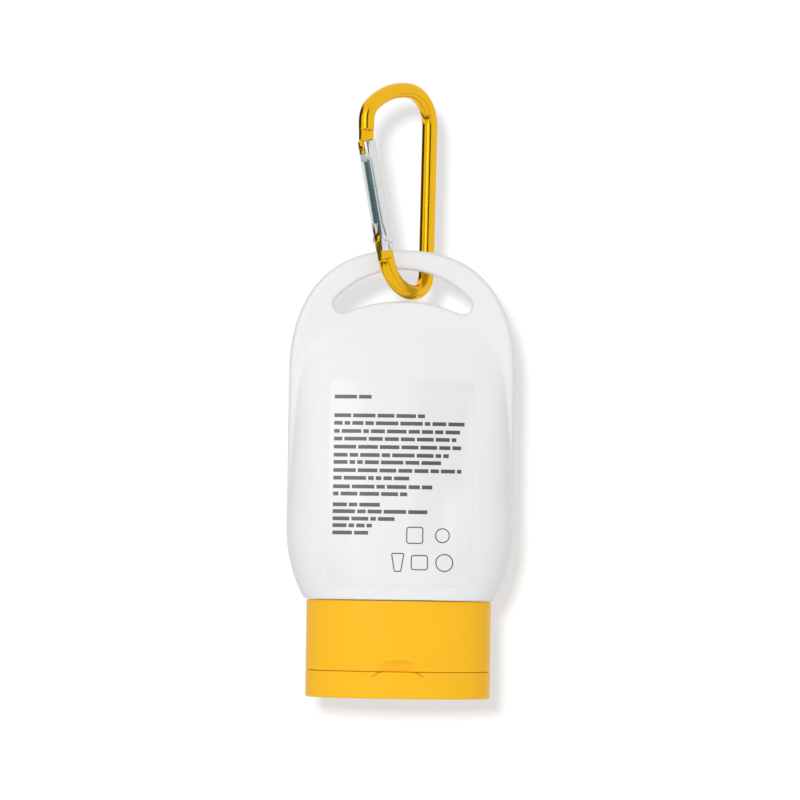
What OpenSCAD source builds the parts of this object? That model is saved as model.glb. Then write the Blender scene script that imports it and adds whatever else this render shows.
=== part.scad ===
// Travel bottle for a 30 ml lotion, standing on its flip-top cap, with a snap hook on its hanging loop.
// The origin is the middle of the cap's flat base. +Z runs up the bottle, and the front faces -Y.

/* [Bottle] */
// Overall height of the bottle with its cap
bottle_h = 100; // [92:1:108]
// Width of the bottle
body_w = 50.6; // [48:0.2:54]
// Depth of the belly
body_d = 23; // [21.6:0.2:26]
// Wall of the bottle
body_wall = 0.9; // [0.7:0.1:1.3]
// Height of the round arch at the loop end
arch_h = 29; // [27:0.5:32]
// Height of the drawn-in shoulder above the cap
shoulder_h = 15.8; // [12:0.2:20]
// How far the bottle's edge stands out over the cap
shoulder_lip = 0.6; // [0.3:0.1:1]
// Height of the belly's tip below the top of the loop
belly_drop = 11.7; // [11.2:0.1:13]
// Thickness of the flat flange round the slot
flange_t = 3.6; // [3:0.1:4.2]
// Outer diameter of the neck
neck_d = 15; // [14:0.2:16]
// Bore of the neck
neck_bore = 12.2; // [11:0.2:12.6]
// Length of the neck below the shoulder
neck_len = 12.6; // [11:0.2:13.4]
// How far the neck's snap bead stands out
bead_out = 0.45; // [0.3:0.05:0.6]

/* [Hanging slot] */
// Height of the bar above the slot
bar_h = 4.4; // [4:0.1:5]
// Height of the slot in its middle
slot_h = 7.1; // [6.8:0.1:7.4]
// Radius of the slot's upper edge
slot_top_r = 20.3; // [19.6:0.1:21]
// Radius of the slot's lower edge
slot_low_r = 32; // [30:0.5:35]
// Radius of the slot's ends
slot_end_r = 2; // [1.9:0.05:2.2]
// Rounding of the flange's edges
edge_r = 1.5; // [1.2:0.1:1.6]

/* [Label] */
// Width of the label
label_w = 31.8; // [28:0.2:34]
// Height of the label
label_h = 45.6; // [40:0.2:46]
// Height of the label's lower edge above the cap's rim
label_rise = 3.4; // [3:0.1:5]
// Corner radius of the label
label_r = 1.2; // [0.8:0.1:2]
// Thickness of the label film
label_t = 0.12; // [0.1:0.01:0.2]

/* [Cap] */
// Height of the cap from its base to its rim
cap_h = 21.6; // [20:0.2:24]
// Width of the cap
cap_w = 41.2; // [39:0.2:43]
// Depth of the cap
cap_d = 22; // [21.2:0.2:23]
// Height of the lid
lid_h = 5.9; // [5.4:0.1:6.4]
// Wall of the cap
cap_wall = 1.2; // [1:0.1:1.4]
// Thickness of the collar's deck
deck_t = 1.4; // [1.2:0.1:1.8]
// Rounding of the base's edge
base_r = 0.5; // [0.3:0.1:1]
// Bore of the pouring hole
spout_bore = 3; // [2.6:0.1:3.6]
// Width of the thumb scoop
scoop_w = 11.5; // [10:0.5:13]
// Height of the thumb scoop above the parting line
scoop_h = 2.6; // [2.2:0.1:3]
// Width of the flat back at the hinge
hinge_w = 16; // [14:0.5:17]
// Thickness of the hinge film
film_t = 0.36; // [0.3:0.02:0.44]

/* [Snap hook] */
// Overall height of the hook
hook_h = 48.7; // [47:0.1:50]
// Overall width of the hook
hook_w = 25.2; // [24.4:0.1:26]
// Diameter of the hook's rod
rod_d = 3.5; // [3.2:0.1:3.7]
// Thickness of the rod across its flats
rod_t = 3.1; // [2.9:0.1:3.2]
// Turn of the hook's plane from the bottle's front
hook_turn = 49; // [47:0.5:51]
// Outer diameter of the gate
gate_d = 4; // [3.9:0.05:4.1]
// Bore of the gate
gate_bore = 2.9; // [2.8:0.05:3]
// Thickness of the two tongues in the gate's slots
tongue_t = 1.3; // [1.1:0.05:1.4]
// Diameter of the rivet
rivet_d = 1.2; // [1:0.05:1.3]
// Diameter of the rivet's heads
rivet_head_d = 2.6; // [2.3:0.1:2.8]
// Wire of the gate spring
wire_d = 0.3; // [0.26:0.02:0.34]
// Number of turns of the gate spring
spring_turns = 14; // [11:1:16]

/* [Hidden] */
$fn = 64;
function sq(v) = v * v;
function clamp(v, low, high) = max(low, min(high, v));

// Bottle outline: a superellipse arch on nearly straight sides, drawn in at the shoulder
rim_gap = 0.2;
shoulder_z = cap_h + rim_gap;
arch_n = 2.4;
arch_z = bottle_h - arch_h;
half_w = body_w / 2;
half_d = body_d / 2;
shoulder_half_w = cap_w / 2 + shoulder_lip;
shoulder_half_d = min(cap_d / 2 + shoulder_lip, half_d) - 0.15;
function arc_in(z, full, start) =
    let (drop = clamp((shoulder_z + shoulder_h - z) / shoulder_h, 0, 1),
         radius = (sq(shoulder_h) + sq(full - start)) / (2 * (full - start)))
    full - radius + sqrt(sq(radius) - sq(drop * shoulder_h));
function outline_half(z) = z > arch_z
    ? half_w * pow(max(1 - pow((z - arch_z) / arch_h, arch_n), 0), 1 / arch_n)
    : arc_in(z, half_w, shoulder_half_w);

// Belly: an oval whose depth tapers up to the flange like a wedge
belly_n = 2.3;
taper_n = 1.8;
belly_top_z = bottle_h - belly_drop;
belly_base_z = shoulder_z + shoulder_h;
function taper(z) = clamp((z - belly_base_z) / (belly_top_z - belly_base_z), 0, 1);
function belly_depth(z) = arc_in(z, half_d, shoulder_half_d) * (1 - pow(taper(z), taper_n));
function belly_half(z) = outline_half(z) * (1 - 0.16 * taper(z))
    * pow(max(1 - pow(taper(z), 5), 0), 1 / 2.4);
function belly(x, z, inset) =
    let (wide = belly_half(z) - inset, deep = belly_depth(z) - inset)
    wide <= 0.1 || deep <= 0 || abs(x) >= wide ? 0
        : deep * pow(1 - pow(abs(x) / wide, belly_n), 1 / belly_n);

// Flange: a flat plate whose rounded edge follows the outline
function edge_gap(x, z) = z > arch_z
    ? let (level = pow(pow(abs(x) / half_w, arch_n) + pow((z - arch_z) / arch_h, arch_n), 1 / arch_n))
      (1 - level) * norm([x, z - arch_z]) / max(level, 0.01)
    : outline_half(z) - abs(x);
function flange(x, z) =
    let (inside = clamp(1 - edge_gap(x, z) / edge_r, 0, 1))
    flange_t / 2 - edge_r + edge_r * sqrt(1 - sq(inside))
        - (flange_t / 2 - edge_r) * pow(inside, 6);
function smooth_max(a, b, blend) = (a + b + sqrt(sq(a - b) + sq(blend))) / 2;
function front_depth(x, z) =
    let (plate = flange(x, z))
    smooth_max(belly(x, z, 0), plate, blend_r * plate / flange_t);

// A closed skin over rings of points, with a flat cap at both ends
module skin(rings) {
    count = len(rings[0]);
    last = len(rings) - 1;
    points = [for (ring = rings) for (p = ring) p];
    sides = [for (i = [0:last - 1]) for (j = [0:count - 1])
        let (k = (j + 1) % count)
        each [[i * count + j, i * count + k, (i + 1) * count + j],
              [i * count + k, (i + 1) * count + k, (i + 1) * count + j]]];
    ends = [[for (j = [count - 1:-1:0]) j], [for (j = [0:count - 1]) last * count + j]];
    polyhedron(points, concat(sides, ends));
}

blend_r = 0.9;

// Outer form of the bottle
ring_step = 5;
side_rows = 15;
arch_step = 4;
rim_round = 0.3;
function body_ring(z, share) =
    [for (a = [0:ring_step:360 - ring_step])
        let (x = outline_half(z) * cos(a), side = a == 0 || a == 180 ? 0 : -sign(sin(a)))
        [x * share, side * front_depth(x, z) * share, z]];
body_rows = concat(
    [[shoulder_z, 1 - rim_round / half_d]],
    [for (i = [0:side_rows]) [shoulder_z + rim_round + (arch_z - shoulder_z - rim_round) * i / side_rows, 1]],
    [for (a = [arch_step:arch_step:90 - arch_step / 2]) [arch_z + arch_h * sin(a), 1]]);
module bottle_form() {
    skin([for (row = body_rows) body_ring(row[0], row[1])]);
}

// Space for the lotion, one wall inside the belly
cavity_z = shoulder_z + 1.2;
cavity_rows = 16;
cavity_ring_step = 10;
cavity_top_z = belly_top_z - 9;
function cavity_ring(z) =
    [for (a = [0:cavity_ring_step:360 - cavity_ring_step])
        let (x = (belly_half(z) - body_wall) * 0.985 * cos(a))
        [x, -sign(sin(a)) * max(belly(x, z, body_wall), 0.01) * (a == 0 || a == 180 ? 0 : 1), z]];
module bottle_cavity() {
    skin([for (i = [0:cavity_rows]) cavity_ring(cavity_z + (cavity_top_z - cavity_z) * i / cavity_rows)]);
}

// Hanging slot: four tangent arcs, flared towards both faces
slot_top_z = bottle_h - bar_h;
slot_low_z = slot_top_z - slot_h;
top_c = slot_top_z - slot_top_r;
low_c = slot_low_z - slot_low_r;
end_dz = (sq(slot_low_r + slot_end_r) - sq(slot_top_r - slot_end_r) + sq(top_c - low_c)) / (2 * (top_c - low_c));
end_c = [sqrt(sq(slot_low_r + slot_end_r) - sq(end_dz)), low_c + end_dz];
top_a = atan2(end_c[1] - top_c, end_c[0]);
low_a = atan2(end_c[1] - low_c, end_c[0]);
function arc(c, r, from, to, steps) =
    [for (i = [0:steps - 1]) let (a = from + (to - from) * i / steps) [c[0] + r * cos(a), c[1] + r * sin(a)]];
function slot_outline(grow) = concat(
    arc([0, top_c], slot_top_r + grow, top_a, 180 - top_a, 14),
    arc([-end_c[0], end_c[1]], slot_end_r + grow, 180 - top_a, 360 - low_a, 7),
    arc([0, low_c], slot_low_r - grow, 180 - low_a, low_a, 12),
    arc(end_c, slot_end_r + grow, low_a - 180, top_a, 7));
slot_edge_r = 1;
slot_flare = [for (i = [0:5]) let (a = 90 - 18 * i)
    [flange_t / 2 + 0.15 - slot_edge_r * (1 - sin(a)), slot_edge_r * (1 - cos(a))]];
module hanging_slot() {
    rings = concat([[-half_d, slot_edge_r]],
        [for (i = [0:5]) [-slot_flare[i][0], slot_flare[i][1]]],
        [for (i = [5:-1:0]) [slot_flare[i][0], slot_flare[i][1]]],
        [[half_d, slot_edge_r]]);
    skin([for (ring = rings) [for (p = slot_outline(ring[1])) [p[0], ring[0], p[1]]]]);
}

// Round neck with its snap bead
neck_low_z = shoulder_z - neck_len;
bead_z = neck_low_z + 2.4;
module neck_profile() {
    polygon([[0, neck_low_z], [neck_d / 2 - 0.5, neck_low_z], [neck_d / 2, neck_low_z + 0.5],
        [neck_d / 2, bead_z - bead_out], [neck_d / 2 + bead_out, bead_z], [neck_d / 2 + bead_out, bead_z + 0.4],
        [neck_d / 2, bead_z + 0.4 + 2 * bead_out], [neck_d / 2, shoulder_z + 0.6], [0, shoulder_z + 0.6]]);
}
module bottle() {
    color("whitesmoke") difference() {
        union() {
            bottle_form();
            rotate_extrude() neck_profile();
        }
        bottle_cavity();
        hanging_slot();
        translate([0, 0, neck_low_z - 1]) cylinder(d = neck_bore, h = cavity_z - neck_low_z + 1.5);
    }
}

// Label: a film laid on the front of the belly
label_z = cap_h + label_rise;
label_gap = 0.02;
label_cols = 18;
label_rows = 12;
function label_half(z) =
    let (near = min(z - label_z, label_z + label_h - z))
    label_w / 2 - (near < label_r ? label_r - sqrt(sq(label_r) - sq(label_r - near)) : 0);
label_levels = concat([for (i = [0:3]) label_r * (1 - cos(30 * i))],
    [for (i = [1:label_rows - 1]) label_r + (label_h - 2 * label_r) * i / label_rows],
    [for (i = [3:-1:0]) label_h - label_r * (1 - cos(30 * i))]);
function label_row(z, lift) =
    [for (j = [0:label_cols])
        let (x = label_half(z) * (2 * j / label_cols - 1))
        [x, -front_depth(x, z) - lift, z]];
module label() {
    color("white")
    skin([for (level = label_levels) let (z = label_z + level)
        concat(label_row(z, label_gap),
            [for (j = [label_cols:-1:0]) label_row(z, label_gap + label_t)[j]])]);
}

// Cap: oval walls made from circles squeezed in depth
oval = cap_d / cap_w;
inner_oval = (cap_d - 2 * cap_wall) / (cap_w - 2 * cap_wall);
part_gap = 0.12;
collar_z = lid_h + part_gap;
deck_top_z = collar_z + deck_t;
flat_y = cap_d / 2 - 0.9;
axis_y = flat_y + film_t / 2;
axis_z = lid_h + part_gap / 2;
module oval_tube(low, high) {
    difference() {
        translate([0, 0, low]) scale([1, oval, 1]) cylinder(d = cap_w, h = high - low);
        translate([0, 0, low - 1]) scale([1, inner_oval, 1])
            cylinder(d = cap_w - 2 * cap_wall, h = high - low + 2);
    }
}
// Shallow hollow for the thumb, across the parting line
scoop_d = 1.1;
lid_dip = 1.1;
module thumb_scoop(height) {
    translate([0, -cap_d / 2 - 0.3, axis_z])
        scale([scoop_w / 2, scoop_d + 0.3, height]) sphere(r = 1);
}
// Flat back with the hinge
back_rise = 3;
module flat_back(low, high) {
    translate([-hinge_w / 2, flat_y, low]) cube([hinge_w, cap_d, high - low]);
}
socket_gap = 0.12;
socket_wall = 1.1;
socket_d = neck_d + 2 * socket_gap;
groove_out = bead_out + 0.15;
seal_wall = 0.8;
spout_d = 6.4;
spout_drop = 1.2;
module collar_core() {
    rotate_extrude() polygon([
        [spout_bore / 2, collar_z - spout_drop], [spout_d / 2 - 0.4, collar_z - spout_drop],
        [spout_d / 2, collar_z - spout_drop + 0.4], [spout_d / 2, collar_z + 0.3],
        [socket_d / 2 + socket_wall, collar_z + 0.3], [socket_d / 2 + socket_wall, bead_z + 2.6],
        [socket_d / 2, bead_z + 2.6], [socket_d / 2, bead_z + 0.4 + 2 * groove_out],
        [socket_d / 2 + groove_out - 0.05, bead_z + 0.5], [socket_d / 2 + groove_out - 0.05, bead_z - 0.1],
        [socket_d / 2, bead_z - groove_out - 0.1], [socket_d / 2, deck_top_z],
        [neck_bore / 2 - 0.1, deck_top_z], [neck_bore / 2 - 0.1, neck_low_z + 1.6],
        [neck_bore / 2 - 0.5, neck_low_z + 2], [neck_bore / 2 - 0.1 - seal_wall, neck_low_z + 2],
        [neck_bore / 2 - 0.1 - seal_wall, deck_top_z], [spout_bore / 2, deck_top_z]]);
}
module cap_collar() {
    color("gold") difference() {
        union() {
            oval_tube(collar_z, cap_h);
            difference() {
                translate([0, 0, collar_z]) scale([1, oval, 1]) cylinder(d = cap_w, h = deck_t);
                translate([0, 0, collar_z - 1]) cylinder(d = socket_d, h = deck_t + 2);
            }
            collar_core();
        }
        thumb_scoop(scoop_h);
        flat_back(collar_z - 1, collar_z + back_rise);
    }
}

// Lid: a shallow oval cup with a seal pin, and a tab left standing in the scoop
lid_floor = 1.4;
base_sink = 0.02;
pin_gap = 0.25;
pin_in = 1.1;
pin_top_z = collar_z - spout_drop + pin_in;
tab_half = 3.4;
module lid_shell() {
    difference() {
        scale([1, oval, 1]) rotate_extrude() {
            translate([0, -1]) square([cap_w / 2 - base_r, base_r + 1]);
            translate([0, base_r - base_sink]) square([cap_w / 2, lid_h - base_r + base_sink]);
            translate([cap_w / 2 - base_r, base_r - base_sink]) circle(r = base_r);
        }
        translate([0, 0, lid_floor]) scale([1, inner_oval, 1])
            cylinder(d = cap_w - 2 * cap_wall, h = lid_h);
        translate([-cap_w / 2, -cap_w / 2, -2]) cube([cap_w, cap_w, 2]);
    }
}
module thumb_tab() {
    rotate([90, 0, 0]) linear_extrude(cap_d)
        polygon([[-scoop_w / 2 - 1, lid_h - lid_dip - 1], [scoop_w / 2 + 1, lid_h - lid_dip - 1],
            [scoop_w / 2, lid_h - lid_dip], [scoop_w / 2 - 0.7, lid_h - 0.65 * lid_dip],
            [(scoop_w / 2 + tab_half) / 2, lid_h - 0.2 * lid_dip], [tab_half, lid_h + 1],
            [-tab_half, lid_h + 1], [-(scoop_w / 2 + tab_half) / 2, lid_h - 0.2 * lid_dip],
            [-scoop_w / 2 + 0.7, lid_h - 0.65 * lid_dip], [-scoop_w / 2, lid_h - lid_dip]]);
}
module cap_lid() {
    color("gold") difference() {
        union() {
            lid_shell();
            rotate_extrude() polygon([[0, lid_floor - 0.3], [spout_bore / 2 + 0.4, lid_floor - 0.3],
                [spout_bore / 2 + 0.4, collar_z - spout_drop - 0.5],
                [spout_bore / 2 - pin_gap, collar_z - spout_drop - 0.2],
                [spout_bore / 2 - pin_gap, pin_top_z - 0.4],
                [spout_bore / 2 - pin_gap - 0.4, pin_top_z], [0, pin_top_z]]);
        }
        difference() {
            thumb_scoop(scoop_h);
            thumb_tab();
        }
        flat_back(-1, lid_h + 1);
    }
}

// Hinge: two thin films and a snap strap between them, all lying on the flat back
film_w = 3.2;
film_reach = 1.3;
strap_w = 4.4;
strap_reach = 2.4;
film_x = hinge_w / 2 - 1 - film_w;
module back_film(x, wide, reach) {
    translate([x, flat_y, axis_z - reach]) cube([wide, film_t, 2 * reach]);
}
module hinge_films() {
    color("gold") {
        back_film(film_x, film_w, film_reach);
        back_film(-film_x - film_w, film_w, film_reach);
    }
}
module hinge_strap() {
    color("gold") back_film(-strap_w / 2, strap_w, strap_reach);
}

// Snap hook: a rod bent round a closed outline in its own plane, with u across and w up
rod_r = rod_d / 2;
hook_top_w = slot_low_z + 0.4 + hook_h - rod_r;
hook_low_w = slot_low_z + 0.4 + rod_r;
hook_u0 = 0.9;
spine_top_u = 7;
spine_low_u = 6.3;
nose_u = spine_top_u - (hook_w - rod_d);
shoulder_a = 38.6;
crown_u = -7.48;
crown_r = 19.5;
nose_bend_r = 4.95;
spine_foot_r = 4.5;
gate_foot_r = 9.3;
spine_r = 0.98 * (spine_top_u - crown_u - crown_r * tan(shoulder_a / 2) - 0.1);
low_left_u = -5.4;
nose_w = hook_top_w - 10.3;
gate_top_w = nose_w - 2.25;
gate_lean = atan2(low_left_u - nose_u, gate_top_w - hook_low_w);

// Gate frame: its origin is the rivet, and +Y runs up the gate in the hook's plane
gate_way = [-sin(gate_lean), cos(gate_lean)];
gate_up = 22.35;
gate_heel = 2.35;
heel_gap = 2;
slot_side_gap = 0.2;
gate_slot = tongue_t + 2 * slot_side_gap;
nose_slot = 4.4;
heel_slot = 4.05;
pivot = [nose_u, gate_top_w] - gate_up * gate_way;
stub = pivot - (gate_heel + heel_gap) * gate_way;
rod_path = [
    [nose_u, nose_w, 0],
    [nose_u, hook_top_w - (crown_u - nose_u) * tan(shoulder_a), nose_bend_r],
    [crown_u, hook_top_w, crown_r],
    [spine_top_u, hook_top_w, spine_r],
    [spine_low_u, hook_low_w, spine_foot_r],
    [low_left_u, hook_low_w, gate_foot_r],
    [stub[0], stub[1], 0]];
module in_hook_plane() {
    translate([hook_u0, 0, 0]) rotate([90, 0, hook_turn]) children();
}
// A rod swept along the path's lines and round bends, as stations of place and direction
bend_step = 9;
function way_at(path, i) =
    let (run = [path[i + 1][0] - path[i][0], path[i + 1][1] - path[i][1]]) run / norm(run);
function bend_at(path, i) =
    let (a = way_at(path, i - 1), b = way_at(path, i)) atan2(a[0] * b[1] - a[1] * b[0], a * b);
function bend_stations(path, i) =
    let (a = way_at(path, i - 1), r = path[i][2], bend = bend_at(path, i), side = sign(bend),
         start = [path[i][0], path[i][1]] - a * r * tan(abs(bend) / 2),
         centre = start + side * r * [-a[1], a[0]], steps = ceil(abs(bend) / bend_step))
    [for (k = [0:steps])
        let (t = bend * k / steps, way = [a[0] * cos(t) - a[1] * sin(t), a[0] * sin(t) + a[1] * cos(t)])
        [centre - side * r * [-way[1], way[0]], way]];
function stations(path) =
    let (last = len(path) - 1)
    concat([[[path[0][0], path[0][1]], way_at(path, 0)]],
        [for (i = [1:last - 1]) each bend_stations(path, i)],
        [[[path[last][0], path[last][1]], way_at(path, last - 1)]]);
rod_sides = 20;
module rod(path) {
    skin([for (s = stations(path))
        [for (k = [0:rod_sides - 1])
            let (a = 360 * (k + 0.5) / rod_sides, across = rod_r * cos(a))
            [s[0][0] - across * s[1][1], s[0][1] + across * s[1][0],
             -clamp(rod_r * sin(a), -rod_t / 2, rod_t / 2)]]]);
}

module at_pivot() {
    in_hook_plane() translate([pivot[0], pivot[1], 0]) rotate([0, 0, gate_lean]) children();
}
module plate(outline) {
    translate([0, 0, -tongue_t / 2]) linear_extrude(tongue_t) polygon(outline);
}
tongue_top = 1.8;
rivet_gap = 0.07;
tongue_foot = -gate_heel - heel_gap - 0.45;
nose_tongue = [[-rod_r, 0.5], [-rod_r, -2.2], [-1.35, -3.6], [-1.5, -4.2], [-1, -5.2], [-0.3, -5.3],
    [0.6, -4.9], [0.9, -4.2], [0.6, -3.4], [1, -2.6], [rod_r, -1.95], [rod_r, 0.5]];
heel_tongue = [[-2, tongue_foot], [1.9, tongue_foot], [1.9, -0.6], [1.2, 1], [0.8, tongue_top],
    [-0.8, tongue_top], [-1.6, 1.2], [-2, 0]];
module hook_body() {
    color("goldenrod") difference() {
        union() {
            in_hook_plane() {
                rod(rod_path);
                translate([nose_u, nose_w, 0]) plate(nose_tongue);
            }
            at_pivot() plate(heel_tongue);
        }
        at_pivot() cylinder(d = rivet_d + 2 * rivet_gap, h = rod_d, center = true);
    }
}

// Gate: a round bar bored for the spring and slotted at both ends
gate_r = gate_d / 2;
gate_edge = 0.2;
spot_depth = 0.25;
bore_top = gate_up - nose_slot - 1;
module gate_bar() {
    rotate([-90, 0, 0]) rotate_extrude() polygon([[0, -gate_heel], [gate_r - gate_edge, -gate_heel],
        [gate_r, -gate_heel + gate_edge], [gate_r, gate_up - gate_edge], [gate_r - gate_edge, gate_up],
        [0, gate_up]]);
}
module end_slot(low, high) {
    translate([-gate_d, low, -gate_slot / 2]) cube([2 * gate_d, high - low, gate_slot]);
}
module gate() {
    color("silver") at_pivot() difference() {
        gate_bar();
        translate([0, -gate_heel - 1, 0]) rotate([-90, 0, 0]) cylinder(d = gate_bore, h = bore_top + gate_heel + 1);
        end_slot(gate_up - nose_slot, gate_up + 1);
        end_slot(-gate_heel - 1, heel_slot);
        cylinder(d = rivet_d + 0.04, h = 2 * gate_d, center = true);
        for (side = [0, 180])
            rotate([0, side, 0]) translate([0, 0, gate_r - spot_depth]) cylinder(d = rivet_head_d + 0.2, h = 2);
    }
}
head_h = 0.45;
head_ball_r = sq(rivet_head_d / 2) / (2 * head_h) + head_h / 2;
module gate_rivet() {
    color("silver") at_pivot() {
        cylinder(d = rivet_d, h = gate_d - 2 * spot_depth, center = true);
        for (side = [0, 180])
            rotate([0, side, 0]) translate([0, 0, gate_r - spot_depth]) rotate_extrude() intersection() {
                square([rivet_head_d / 2, head_h]);
                translate([0, head_h - head_ball_r]) circle(r = head_ball_r, $fn = 96);
            }
    }
}

// Plunger: a follower with a pointed tip on the tongue's flat top, and the spring above it
plunger_gap = 0.06;
plunger_len = 3;
plunger_r = gate_bore / 2 - 0.08;
tip_r = 0.3;
plunger_low = heel_slot + 0.25;
module gate_plunger() {
    color("lightgray") at_pivot() rotate([-90, 0, 0]) rotate_extrude() polygon([
        [0, tongue_top + plunger_gap], [tip_r, tongue_top + plunger_gap], [plunger_r, plunger_low],
        [plunger_r, plunger_low + plunger_len], [0, plunger_low + plunger_len]]);
}
spring_r = gate_bore / 2 - wire_d / 2 - 0.12;
spring_low = plunger_low + plunger_len + wire_d / 2 + 0.03;
spring_high = bore_top - wire_d / 2 - 0.05;
coil_steps = 8;
module gate_spring() {
    count = spring_turns * coil_steps;
    color("gray") at_pivot() rotate([-90, 0, 0]) skin([for (i = [0:count])
        let (a = 360 * i / coil_steps, h = spring_low + (spring_high - spring_low) * i / count)
        [for (k = [0:5]) let (r = spring_r + wire_d / 2 * cos(60 * k))
            [r * cos(a), r * sin(a), h + wire_d / 2 * sin(60 * k)]]]);
}

bottle();
label();
cap_collar();
cap_lid();
hinge_films();
hinge_strap();
hook_body();
gate();
gate_rivet();
gate_plunger();
gate_spring();
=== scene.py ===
"""Clip-on lotion bottle on its flip-top cap, with a snap hook on its hanging loop.

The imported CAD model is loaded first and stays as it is. Each operator then lays smooth pieces over the solids that
they stand for, worked out as whole arrays in millimetres and put into the mesh in metres, in the CAD's own frame.
"""

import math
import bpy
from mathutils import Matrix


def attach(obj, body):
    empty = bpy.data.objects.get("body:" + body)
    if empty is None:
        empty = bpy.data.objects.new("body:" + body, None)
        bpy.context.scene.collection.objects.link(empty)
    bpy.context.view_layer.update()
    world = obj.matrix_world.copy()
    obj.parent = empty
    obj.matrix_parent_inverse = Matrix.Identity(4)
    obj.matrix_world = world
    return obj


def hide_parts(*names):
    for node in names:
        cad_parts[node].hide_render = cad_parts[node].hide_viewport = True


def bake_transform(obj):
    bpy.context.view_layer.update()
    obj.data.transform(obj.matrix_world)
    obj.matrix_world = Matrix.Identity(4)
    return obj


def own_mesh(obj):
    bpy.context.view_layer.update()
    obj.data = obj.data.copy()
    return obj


bl_info = {
    "name": "Clip-on lotion bottle",
    "version": (1, 0, 0),
    "blender": (4, 5, 0),
    "location": "3D View > Sidebar > Bottle",
    "description": "Builds a small lotion bottle with a flip-top cap and a snap hook, and the studio round it",
    "category": "Add Mesh",
}

from types import SimpleNamespace

import bpy
import numpy as np
from bpy.props import FloatProperty, FloatVectorProperty, IntProperty, PointerProperty
from mathutils import Matrix, Vector

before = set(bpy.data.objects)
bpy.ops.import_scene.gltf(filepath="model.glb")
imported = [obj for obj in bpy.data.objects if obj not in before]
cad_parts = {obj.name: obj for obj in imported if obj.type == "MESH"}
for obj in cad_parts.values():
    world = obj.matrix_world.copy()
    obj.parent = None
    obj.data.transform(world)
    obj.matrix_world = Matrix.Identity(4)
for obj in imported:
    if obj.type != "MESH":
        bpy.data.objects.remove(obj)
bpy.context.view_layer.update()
MM = 0.001


# Sizes and colours that a user may change


def length(name, text, value):
    """A length property, with its default in millimetres."""
    return FloatProperty(name=name, description=text, default=value * MM, unit="LENGTH", precision=5)


def colour(name, text, value):
    """A colour property in linear RGB."""
    return FloatVectorProperty(
        name=name, description=text, default=value, size=3, min=0.0, max=1.0, subtype="COLOR"
    )


class BottleSizes(bpy.types.PropertyGroup):
    """The moulded bottle, its hanging slot and its label."""

    half_w: length("Half width", "Half of the bottle's width", 25.3)
    half_d: length("Half depth", "Half of the belly's depth", 11.5)
    shoulder_z: length("Shoulder height", "Where the bottle meets the cap", 21.8)
    shoulder_h: length("Shoulder rise", "Height over which the shoulder swells", 15.8)
    shoulder_half_w: length("Shoulder half width", "Half width at the cap", 21.2)
    shoulder_half_d: length("Shoulder half depth", "Half depth at the cap", 11.35)
    arch_z: length("Arch foot", "Where the round arch starts", 71.0)
    arch_h: length("Arch height", "Height of the round arch", 29.0)
    belly_base_z: length("Belly foot", "Where the belly starts to taper", 37.6)
    belly_top_z: length("Belly tip", "Where the belly runs out into the flange", 88.3)
    flange_t: length("Flange", "Thickness of the flat flange", 3.6)
    edge_r: length("Edge", "Rounding of the flange's edge", 1.5)
    blend_r: length("Blend", "Softness where belly and flange meet", 0.9)
    slot_edge_r: length("Slot edge", "Rounding of the slot's two edges", 1.0)
    neck_r: length("Neck", "Radius of the neck", 7.5)
    neck_low_z: length("Neck end", "Height of the neck's free end", 9.2)
    label_w: length("Label width", "Width of the label", 31.8)
    label_z: length("Label foot", "Height of the label's lower edge", 25.0)
    label_h: length("Label height", "Height of the label", 45.6)
    label_r: length("Label corner", "Corner radius of the label", 1.2)
    label_lift: length("Label lift", "How far the film's face stands off the belly", 0.14)


class CapSizes(bpy.types.PropertyGroup):
    """The flip-top cap with its living hinge."""

    half_w: length("Half width", "Half of the cap's width", 20.6)
    half_d: length("Half depth", "Half of the cap's depth", 11.0)
    wall: length("Wall", "Thickness of the cap's wall", 1.2)
    top_z: length("Rim height", "Height of the collar's rim", 21.6)
    lid_h: length("Lid height", "Height of the lid", 5.9)
    collar_z: length("Collar foot", "Height of the collar's lower edge", 6.02)
    deck_z: length("Deck", "Height of the deck's inner face", 7.42)
    base_r: length("Base edge", "Rounding of the base's edge", 0.5)
    floor_z: length("Lid floor", "Height of the lid's inner floor", 1.4)
    scoop_w: length("Thumb scoop", "Width of the thumb scoop", 11.5)
    scoop_h: length("Scoop height", "Height of the scoop over the parting line", 2.6)
    flat_y: length("Flat back", "Depth at which the back is cut flat", 10.1)
    flat_half: length("Flat half width", "Half width of the flat back", 8.0)
    film_t: length("Film", "Thickness of the hinge films", 0.36)


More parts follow.
